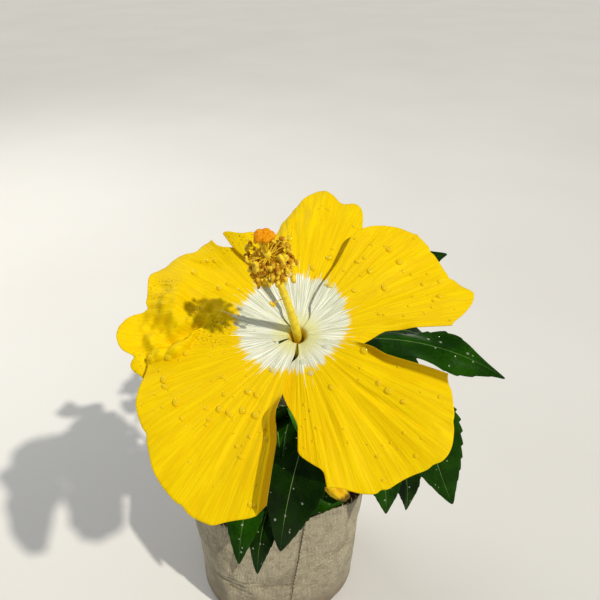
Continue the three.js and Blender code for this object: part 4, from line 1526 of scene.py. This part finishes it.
# %% Stalk under the bloom
STALK_BUMPS = (0.12, (0.7, 0.7, 0.09))
shape = roughened(tubes([(stalk_line(), taper(STALK))], 50, 4), STALK_BUMPS)
piece("bloom_stalk", shape, [green_skin], ["flower_stalk"])

# %% [markdown]
# ## The spent bloom
# Hibiscus blooms last a day. The faded one below the new bloom has rolled itself up like a wet umbrella:
# yellow where it was hidden from the sun, brown and shrivelled where it wasn't, and darkest at its far end,
# which is painted shade. It is a sheet wound round its own axis, closed at both ends, with five twisted
# folds and finer wrinkles between them.

# %% Rolled bloom
ROLL = {"around": 110, "along": 70, "folds": 5, "depth": 0.17, "twist": 0.5, "wrinkle": 0.05, "bow": 1.2}
axis = np.array(SPENT["tip"], float) - SPENT["foot"]
roll_across = sideways(unit(axis), 0.0)
roll_up = np.cross(unit(axis), roll_across)


def rolled(u, v):
    turn, t = 2 * np.pi * u, (v + 1) / 2
    girth = SPENT["radius"] * np.abs(np.sin(np.pi * mix(0.14, 0.93, t))) ** 0.7
    girth = girth * smooth(t / 0.04 + 0.02) * smooth((1 - t) / 0.05 + 0.02)
    swing = ROLL["folds"] * turn + 2 * np.pi * ROLL["twist"] * t
    lap = np.abs(np.sin(swing / 2)) ** 0.6 - 0.6
    fine = hills(np.cos(turn) * 3 + t * 2, np.sin(turn) * 3 + t * 9, 5)
    girth = girth * (0.96 + ROLL["depth"] * lap + ROLL["wrinkle"] * fine)
    ring = np.outer(np.cos(turn), roll_across) + np.outer(np.sin(turn), roll_up)
    bow = np.outer(ROLL["bow"] * np.sin(np.pi * t), roll_up)
    return placed(np.array(SPENT["foot"]) + axis * t[:, None] + ring * girth[:, None] + bow)


# %% Finish of the spent bloom
BROWN_FROM = 22
faded = Finish("faded_petal", Subsurface_Weight=0.1, Specular_IOR_Level=0.2, **SILK)
spot = faded.position()
along_roll = faded.measure(faded.away_from(spot, placed(SPENT["foot"])), unit(axis))
crease = faded.speckle(faded.drawn_out(spot, 0.5), 260.0, 4.0, 0.6)
# Brown toward the far end: a withered petal, and darkest there as painted shade.
wither_and_shade = faded.rise(along_roll / BROWN_FROM + (crease - 0.5) * 0.5, 0.98, 1.25)
tint = faded.shade(crease, 0.35, 0.6, "e6ac00", "f6cc08")
tint = faded.over(tint, wither_and_shade * 0.9, "45260a")
faded_skin = faded.done(tint, 0.5 + 0.3 * crease, crease, 0.5)
shape = bmesh.new()
sheet_of(shape, ROLL["around"], ROLL["along"], rolled)
bmesh.ops.remove_doubles(shape, verts=shape.verts, dist=0.03 * MM)
piece("rolled_spent_bloom", outward(shape), [faded_skin], ["spent_bloom"])

# %% Its small calyx and stalk
SPENT_BUMPS = (0.25, (0.5, 0.5, 0.5))
foot, tip = np.array(SPENT["foot"], float), np.array(SPENT["tip"], float)
stalk_end = np.array(SPENT["stalk"][2], float)
cup_line = [stalk_end, mix(stalk_end, foot, 0.6), mix(foot, tip, 0.14)]
shape = roughened(tubes([(cup_line, lambda t: mix(2.4, 5.6, smooth(2 * t)))], 24, 5), SPENT_BUMPS)
piece("spent_calyx", shape, [calyx_skin])
piece("spent_stalk", tubes([(SPENT["stalk"], taper(STALK))], 24, 3), [green_skin])

# %% [markdown]
# ## The grow bag
# Nursery bags are cut from flat woven tape, sewn up one side and filled with soil, so a full one is a soft
# square with a raw rim. The solid has that outline. Here the wall is one sheet wound round it, from the
# middle of its underside to the rim, and pressed about: broad dents where the soil gives, the seam with
# its lip, and the creases that run down from the corners. Cloth simulation isn't used, because the bag
# is packed tight and stands still; its folds are known from the photo.

# %% The bag's outside
BAG_PROFILE = [(0, 0), (0.93, 0), (0.975, 0.02), (0.99, 0.08), (0.995, 0.3), (1, 0.6), (1, 1)]
BAG_PATH = [(out * BAG["half"], up * BAG["height"]) for out, up in BAG_PROFILE]
BAG_GRID = (360, 130)
CLOTH_THICK = 0.6
# Places on the wall are degrees round the bag and a height in mm. A fold has both its ends, a width and a
# height. The creases are sharper, and shade is painted along their bottom.
SEAM = ((-68, 124), (-80, 4))
LIP = {"rise": 1.1, "half": 1.1, "dip": 0.6, "dip_at": -2.2, "dip_half": 1.2}
BAG_FOLDS = [
    ((-27, 66), (-55, 78), 2.5, -1.0),
    ((-30, 58), (-62, 62), 3.0, 0.9),
    ((-34, 92), (-58, 104), 2.2, 0.7),
    ((-122, 84), (-96, 40), 3.0, 1.3),
    ((-128, 70), (-104, 30), 3.0, -1.2),
    ((-100, 108), (-84, 60), 4.0, 0.8),
    ((-32, 120), (-33, 20), 3.5, 1.0),
    ((-122, 118), (-121, 16), 3.5, 0.8),
    ((60, 110), (85, 40), 3.5, 1.2),
    ((20, 60), (50, 30), 3.0, -1.2),
    ((130, 100), (105, 50), 3.0, 1.0),
    ((170, 80), (150, 20), 3.5, -1.2),
    ((-160, 100), (-175, 40), 3.0, 1.1),
    ((-60, 20), (-95, 14), 3.0, -1.2),
    ((-78, 58), (-30, 86), 1.6, 1.5),
    ((-72, 56), (-36, 76), 1.4, -1.3),
]
CREASES = [
    ((-126, 57), (-109, 54), 1.3, -2.2),
    ((-109, 54), (-80, 51), 1.3, -2.2),
    ((-120, 62), (-95, 57), 1.2, -1.8),
    ((-118, 50), (-104, 44), 1.3, -1.9),
]
RIM_FLAP = {"between": (-71, -38), "ease": (4, 16), "rise": 5, "above": 96, "run": 26}
RIM_DIP = (2.5, 1.2)


# %% The soft square and its folds
def path_at(path, share):
    """The radius and height at a share of the way along a path."""
    spots = np.array(path)
    run = np.concatenate([[0], np.cumsum(np.linalg.norm(np.diff(spots, axis=0), axis=1))])
    return np.interp(share * run[-1], run, spots[:, 0]), np.interp(share * run[-1], run, spots[:, 1])


def bag_shape(turn, radius, z):
    """The soft square that the solids have, with its rim dipping between the corners."""
    free = turn - np.radians(BAG["turn"])
    rise = z / BAG["height"]
    power = mix(BAG["foot_power"], BAG["rim_power"], rise)
    swell = (np.abs(np.cos(free)) ** power + np.abs(np.sin(free)) ** power) ** (-1 / power)
    dip = RIM_DIP[1] * np.sin(5 * free) - RIM_DIP[0] * np.cos(4 * free)
    return radius * swell, z + dip * rise**4 * (radius / BAG["half"]) ** 2


def on_wall(degrees, z):
    return (BAG["half"] * np.radians(degrees), z)


def wall_fold(fold, x, z):
    start, end, *form = fold
    return ridge_lift((on_wall(*start), on_wall(*end), *form), x, z)


def seam_lift(x, z):
    """A folded lip along the seam, steep on its left and flat on its right."""
    (a, b), (c, d) = (on_wall(*end) for end in SEAM)
    off = x - mix(a, c, (z - b) / (d - b))
    lip = LIP["rise"] * np.exp(-((off / LIP["half"]) ** 2))
    return lip - LIP["dip"] * np.exp(-(((off - LIP["dip_at"]) / LIP["dip_half"]) ** 2))


# %% The whole wall
TAPE = 1.15
DENTS = {"depth": 1.5, "crumple": 0.45}
INSET = 0.9


def bag_wall(u, v):
    turn = 2 * np.pi * u - np.pi
    radius, z = path_at(BAG_PATH, (v + 1) / 2)
    x = BAG["half"] * turn
    dent = DENTS["depth"] * hills(np.cos(turn) * 2.3 + 5, np.sin(turn) * 2.3 + z / 42, 3)
    crumple = DENTS["crumple"] * hills(np.cos(turn) * 8 + z / 30, np.sin(turn) * 8 + z / 14, 8)
    folds = sum(wall_fold(fold, x, z) for fold in BAG_FOLDS + CREASES)
    press = smooth((z - 1) / 8) * (dent + crumple + folds + seam_lift(x, z)) - INSET
    out, up = bag_shape(turn, radius, z)
    tape_ends = 0.5 * hills(x / TAPE, 0 * x, 12) * smooth((z - 118) / 4)
    free = np.degrees(turn)
    (low, high), (ease_in, ease_out) = RIM_FLAP["between"], RIM_FLAP["ease"]
    flap = smooth((free - low) / ease_in) * smooth((high - free) / ease_out)
    up = up + RIM_FLAP["rise"] * flap * smooth((z - RIM_FLAP["above"]) / RIM_FLAP["run"])
    out = out + press * smooth(radius / 30)
    return np.column_stack([out * np.cos(turn), out * np.sin(turn), up + tape_ends]) * MM


def woven_uv(shape, grid, spots, tapes):
    """Gives every face corner its place on the cloth, counted in tapes, before the winding is closed."""
    place_of = dict(zip(grid, (spots[:, :2] + 0.5) * tapes))
    layer = shape.loops.layers.uv.new("weave")
    for face in shape.faces:
        for loop in face.loops:
            loop[layer].uv = place_of[loop.vert]


# %% Woven tape finish: the weave
cloth = Finish("woven_tape", Specular_IOR_Level=0.35, Sheen_Weight=0.1)
across, upward, _ = cloth.parts(cloth.node("UVMap", {"uv_map": "weave"}))
column_of, row_of = cloth.math("FLOOR", across), cloth.math("FLOOR", upward)
over = cloth.math("MODULO", column_of + row_of, 2.0)
warp = cloth.math("SINE", cloth.math("FRACT", across) * math.pi) ** 0.5
weft = cloth.math("SINE", cloth.math("FRACT", upward) * math.pi) ** 0.5
weave = over * warp * (0.4 + 0.6 * weft) + (1 - over) * weft * (0.4 + 0.6 * warp)
warp_shade = cloth.speckle(cloth.joined(column_of * 3.7, upward * 0.03), 1.0)
weft_shade = cloth.speckle(cloth.joined(across * 0.03, row_of * 3.1, 9.0), 1.0)
shade = over * warp_shade + (1 - over) * weft_shade

# %% Dirty patches and painted highlight flecks
spot = cloth.position()
grime = cloth.speckle(spot, 28.0, 4.0, 0.6)
blotches = cloth.rise(cloth.speckle(spot, 150.0, 4.0, 0.6), 0.45, 0.65)
highlight_flecks = cloth.rise(cloth.speckle(spot, 650.0, 2.0), 0.52, 0.68)
tint = cloth.shade(shade, 0.3, 0.7, "a79b7c", "bcb192")
tint = cloth.over(tint, blotches * 0.5, "7b7056")
# Light flecks laid over the cloth: a painted highlight.
tint = cloth.over(tint, highlight_flecks * 0.55, "dcd2b6")
tint = cloth.over(tint, cloth.rise(grime, 0.48, 0.7) * 0.6, "756a50")
# The hollows between the tapes are painted darker, as painted shade.
tint = cloth.over(tint, (1 - cloth.rise(weave, 0.15, 0.6)) * 0.7, "655a42")

# %% The seam's shade
wide, deep, height = cloth.parts(spot)
along_wall = cloth.math("ARCTAN2", deep, wide) * BAG["half"]
up_wall = height * (1 / MM)
(a, b), (c, d) = (on_wall(*end) for end in SEAM)
seam_gap = cloth.math("ABSOLUTE", along_wall - (up_wall - b) * ((c - a) / (d - b)) - a)
seam_line = (1 - cloth.rise(seam_gap + grime * 0.6, 0.75, 1.1)) * 0.8
tint = cloth.over(tint, seam_line, "3a2f1f")

# %% The creases' shade, and soil splashed on the foot
for start, end, *_ in CREASES:
    (a, b), (c, d) = on_wall(*start), on_wall(*end)
    along_it = (along_wall - a) * (c - a) + (up_wall - b) * (d - b)
    run = cloth.rise(along_it, 0, (c - a) ** 2 + (d - b) ** 2)
    aside, above = along_wall - run * (c - a) - a, up_wall - run * (d - b) - b
    gap = (aside * aside + above * above) ** 0.5
    # Painted shade along the bottom of each crease.
    tint = cloth.over(tint, (1 - cloth.rise(gap + grime * 0.8, 0.6, 2.4)) * 0.45, "4a3f2b")
splash = (1 - cloth.rise(height + (grime - 0.5) * 0.08, 0.006, 0.045)) * 0.75
tint = cloth.over(tint, splash, "6d5238")
woven_skin = cloth.done(tint, 0.62 + 0.2 * grime, weave, 0.5)

# %% Bag, with its wall
# The soft square is longer round than its circle. The cloth runs from the underside's middle to the rim.
SQUARE_GIRTH = 1.15
CLOTH_RUN = 178
tapes_round = round(2 * math.pi * BAG["half"] * SQUARE_GIRTH / TAPE / 2) * 2
shape = bmesh.new()
grid, spots = sheet_of(shape, *BAG_GRID, bag_wall)
woven_uv(shape, grid, spots, (tapes_round, round(CLOTH_RUN / TAPE)))
bmesh.ops.remove_doubles(shape, verts=shape.verts, dist=0.01 * MM)
walled(shape, CLOTH_THICK * MM)
piece("woven_bag", shape, [woven_skin], ["grow_bag"])

# %% Frayed tapes along the rim
FRAY = {"count": 120, "width": 1.1, "lengths": (0.8, 4.2), "inside": 1.2, "root": 1.5, "thick": 0.12}
roll = dice(5)
shape = bmesh.new()
for i in range(FRAY["count"]):
    turn = 2 * math.pi * (i + roll()) / FRAY["count"]
    out, up = bag_shape(turn, BAG["half"], BAG["height"])
    way = np.array([math.cos(turn), math.sin(turn), 0])
    flank = np.array([-way[1], way[0], 0])
    base = way * (out - FRAY["inside"]) + [0, 0, up - FRAY["root"]]
    rise = np.array([0, 0, FRAY["root"] + mix(*FRAY["lengths"], roll() ** 2)])
    bow = way * mix(-1.5, 1.8, roll()) + flank * mix(-2, 2, roll())

    def strip(u, v):
        half = FRAY["width"] / 2 * (1 - 0.4 * u)
        return (base + np.outer(u, rise) + np.outer(u * u, bow) + np.outer(half * v, flank)) * MM

    sheet_of(shape, 4, 1, strip)
walled(shape, FRAY["thick"] * MM)
fray_skin = grainy("frayed_tape", "978b69", "c9be9c", 500.0, 0.2, 0.7)
piece("frayed_rim", outward(shape), [fray_skin])

# %% Stitches down the seam
STITCH = {"count": 30, "below": 119, "size": 1.0, "squeeze": (0.3, 1.3, 0.3), "proud": 0.1}
(a, b), (c, d) = (on_wall(*end) for end in SEAM)
shares = np.linspace(0, 1, 400)
heights = path_at(BAG_PATH, shares)[1]
shape = bmesh.new()
for k in range(STITCH["count"]):
    share = (k + 0.5) / STITCH["count"]
    turn, z = mix(a, c, share) / BAG["half"], mix(b, d, share)
    if z > STITCH["below"]:
        continue
    u, v = (turn + np.pi) / (2 * np.pi), 2 * np.interp(z, heights, shares) - 1
    spot = bag_wall(np.array([u]), np.array([v]))[0] / MM - PLANTED_AT
    way = np.array([math.cos(turn), math.sin(turn), 0])
    add_ball(shape, spot + way * STITCH["proud"], STITCH["size"], STITCH["squeeze"], detail=2)
piece("seam_stitches", shape, [fray_skin])

# %% [markdown]
# ## The soil
# Red-brown potting soil, a little heaped round the trunk, with crumbs lying on it. The fill is the same
# kind of wound sheet as the bag, closed above and below, and the crumbs are many small squeezed balls.

# %% Soil fill
# The side stands in from the wall, so that no crease of the cloth reaches it. Lumps: height, width, seed.
SIDE_EASE = 2.5
LUMPS = [(0.9, 9, 1), (0.8, 3.4, 2), (0.35, 1.4, 4)]
edge = BAG["half"] - BAG["wall"] - SOIL["clear"]
lowest = BAG["floor"] + GAP + 0.1
side = [(out - (BAG["half"] - edge) - SIDE_EASE, max(up, lowest)) for out, up in BAG_PATH[1:-1]]
crust = [(edge, -4), (edge * 0.8, -1.5), (edge * 0.5, 0.6), (0, 0)]
SOIL_PATH = [(0, lowest), *side, *[(out, SOIL["height"] + up) for out, up in crust]]


def soil_fill(u, v):
    turn = 2 * np.pi * u - np.pi
    radius, z = path_at(SOIL_PATH, (v + 1) / 2)
    out, up = bag_shape(turn, radius, z)
    x, y = out * np.cos(turn), out * np.sin(turn)
    lumps = sum(height * hills(x / size, y / size, seed) for height, size, seed in LUMPS)
    lumps = lumps * smooth((z - 100) / 5) * smooth((edge - radius) / 3)
    return np.column_stack([x, y, up + lumps]) * MM


# %% Soil finish
dirt = Finish("potting_soil", Specular_IOR_Level=0.2)
spot = dirt.position()
clods = dirt.speckle(spot, 260.0, 5.0, 0.65)
damp = dirt.speckle(spot, 35.0, 2.0)
tint = dirt.shade(clods, 0.3, 0.7, "3a2416", "7b5236")
tint = dirt.over(tint, dirt.rise(damp, 0.5, 0.7) * 0.5, "2b1b11")
soil_skin = dirt.done(tint, 0.85, clods, 1.2)
shape = bmesh.new()
sheet_of(shape, 150, 110, soil_fill)
bmesh.ops.remove_doubles(shape, verts=shape.verts, dist=0.01 * MM)
piece("soil_bed", outward(shape), [soil_skin], ["soil"])

# %% Crumbs on the soil
CRUMBS = {"count": 520, "sizes": (0.4, 1.7), "off_edge": 3, "proud": 0.2}
# How far the crust lies above or below the soil's height, at distances from the middle.
CRUST = ((0, 30, 48, 60), (0, 0.6, -1.5, -4))
roll = dice(9)
shape = bmesh.new()
for _ in range(CRUMBS["count"]):
    turn, radius = 2 * math.pi * roll(), (edge - CRUMBS["off_edge"]) * math.sqrt(roll())
    out, up = bag_shape(turn, radius, SOIL["height"])
    size = mix(*CRUMBS["sizes"], roll() ** 3)
    height = up + np.interp(radius, *CRUST) + CRUMBS["proud"]
    at = np.array([out * math.cos(turn), out * math.sin(turn), height]) - PLANTED_AT
    squeeze = (mix(0.7, 1.2, roll()), mix(0.7, 1.2, roll()), mix(0.5, 0.9, roll()))
    add_ball(shape, at, size, squeeze, (roll() - 0.5, roll() - 0.5, 1))
piece("soil_crumbs", shape, [soil_skin])

# %% [markdown]
# ## Dew
# The plant was watered a moment before: clear beads stand on every petal and on the leaves that show. A
# bead is a squeezed ball sunk a little into the surface under it. To find that surface, the petals are
# sampled as a cloud of points with their normals. A bead takes the topmost point near its spot, so none
# sits inside an overlap.

# %% Points and normals on the petals
SAMPLES = 90
NEAR = 1.6
su, sv = np.meshgrid(np.linspace(0.1, 0.97, SAMPLES), np.linspace(-0.93, 0.93, SAMPLES), indexing="ij")
cloud_points, cloud_normals = [], []
for name in PETALS:
    points = petal_surface(name, su.ravel(), sv.ravel()).reshape(SAMPLES, SAMPLES, 3)
    normals = np.cross(np.gradient(points, axis=0), np.gradient(points, axis=1))
    normals /= np.linalg.norm(normals, axis=2, keepdims=True) + 1e-12
    cloud_points.extend(points.reshape(-1, 3))
    cloud_normals.extend(normals.reshape(-1, 3))
cloud_points, cloud_normals = np.array(cloud_points), np.array(cloud_normals)


def topmost(x, y):
    """The highest petal point near a spot of the bloom's plane, with its normal."""
    close = np.where(np.hypot(cloud_points[:, 0] - x, cloud_points[:, 1] - y) < NEAR)[0]
    if not len(close):
        return None
    best = close[np.argmax(cloud_points[close, 2])]
    return cloud_points[best], cloud_normals[best]


# %% Where the beads of the bloom stand: the large ones as in the photo, the rest by dice
DEW = {"count": 215, "sizes": (0.45, 1.0), "large": (1.15, 1.7), "share_large": 0.042, "reach": (16, 72)}
LARGE_BEADS = [
    (-3.9, 48.7), (15.4, 37.6), (7.9, 32.5), (38.1, 20.9), (24.1, 18.2), (41.3, 40.2), (45.2, 34.9),
    (31.9, 29.5), (24.7, 32.2), (-40.8, 38.2), (-45.2, 33.0), (-34.0, 22.7), (-38.2, 38.7), (-30.4, 26.6),
    (-9.3, -14.6), (-16.4, -33.8), (-27.2, -32.1), (-30.2, -32.1), (-21.9, -31.8), (-47.8, -28.7),
    (-52.6, -20.4), (38.9, -30.4), (33.5, -26.4), (29.9, -23.1), (27.6, -9.5), (32.4, -9.1), (21.9, -4.2),
    (-18.4, -23.7), (9.8, -7.1), (0.6, -12.6), (-59.3, -10.6), (-52.5, -10.9), (-46.1, -8.5), (-52, -20),
]
roll = dice(31)
spots = [(x, y, mix(*DEW["large"], roll())) for x, y in LARGE_BEADS]
while len(spots) < DEW["count"]:
    turn, reach = 2 * math.pi * roll(), mix(*DEW["reach"], roll() ** 0.7)
    if roll() < DEW["share_large"]:
        size = mix(*DEW["large"], roll()) * 0.9
    else:
        size = mix(*DEW["sizes"], roll() ** 2)
    spots.append((reach * math.cos(turn), reach * math.sin(turn), size))

# %% Beads on the bloom
BEAD = {"flat": 0.62, "proud": 0.15}


def add_bead(bed, at, facing, size, stretch=1):
    squeeze = (stretch, 1 / stretch, BEAD["flat"])
    add_ball(bed, at + facing * BEAD["proud"] * size, size, squeeze, facing, 2)


golden, clear = bmesh.new(), bmesh.new()
beads = 0
for x, y, size in spots:
    found = topmost(x, y)
    if found is None:
        continue
    at, normal = found
    bed = clear if math.hypot(x, y) < EYE["middle"] else golden
    add_bead(bed, in_plant(at), normal @ BLOOM_AXES, size, mix(0.85, 1.2, roll()))
    beads += 1

# %% Beads on the leaves that show
LEAF_DEW = {"each": 9, "sizes": (0.4, 1.0), "along": (0.12, 0.88), "across": (-0.75, 0.75)}
STEP = 0.01
for leaf in [leaf for group in leaves.values() for leaf in group if leaf.get("hung")]:
    for _ in range(LEAF_DEW["each"]):
        u, v = mix(*LEAF_DEW["along"], roll()), mix(*LEAF_DEW["across"], roll())
        us, vs = np.array([u, u + STEP, u]), np.array([v, v, v + STEP])
        at, ahead, aside = leaf_surface(leaf, us, toothed(us, vs), leaf_relief(leaf, us, vs))
        add_bead(clear, at, unit(np.cross(ahead - at, aside - at)), mix(*LEAF_DEW["sizes"], roll() ** 2))
        beads += 1


# %% Water finishes
def water_finish(name, dark, light, alpha):
    water = Finish(name, Alpha=alpha, Specular_IOR_Level=0.3, Coat_Weight=0.3, Coat_Roughness=0.01)
    film = water.speckle(water.position(), 900.0, 1.0)
    return water.done(water.blend(film, colour(dark), colour(light)), 0.04 + 0.04 * film)


# Water has no colour of its own: the golden beads are painted the petal's yellow seen through them, and the
# clear beads a pale green-white, as painted refraction and reflection.
piece("golden_dew", golden, [water_finish("golden_dew", "f6d200", "ffe81c", 0.55)])
piece("clear_dew", clear, [water_finish("clear_dew", "c5d3a6", "e9f0d8", 0.32)])
print("beads of dew", beads)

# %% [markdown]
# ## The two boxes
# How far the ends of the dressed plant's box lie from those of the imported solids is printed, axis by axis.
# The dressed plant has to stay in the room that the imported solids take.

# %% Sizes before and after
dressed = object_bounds()
for axis, name in enumerate("xyz"):
    past = [round((dressed[end][axis] - cad_box[end][axis]) / MM, 1) for end in (0, 1)]
    print(name, "ends lie", past, "mm from the solids' own")
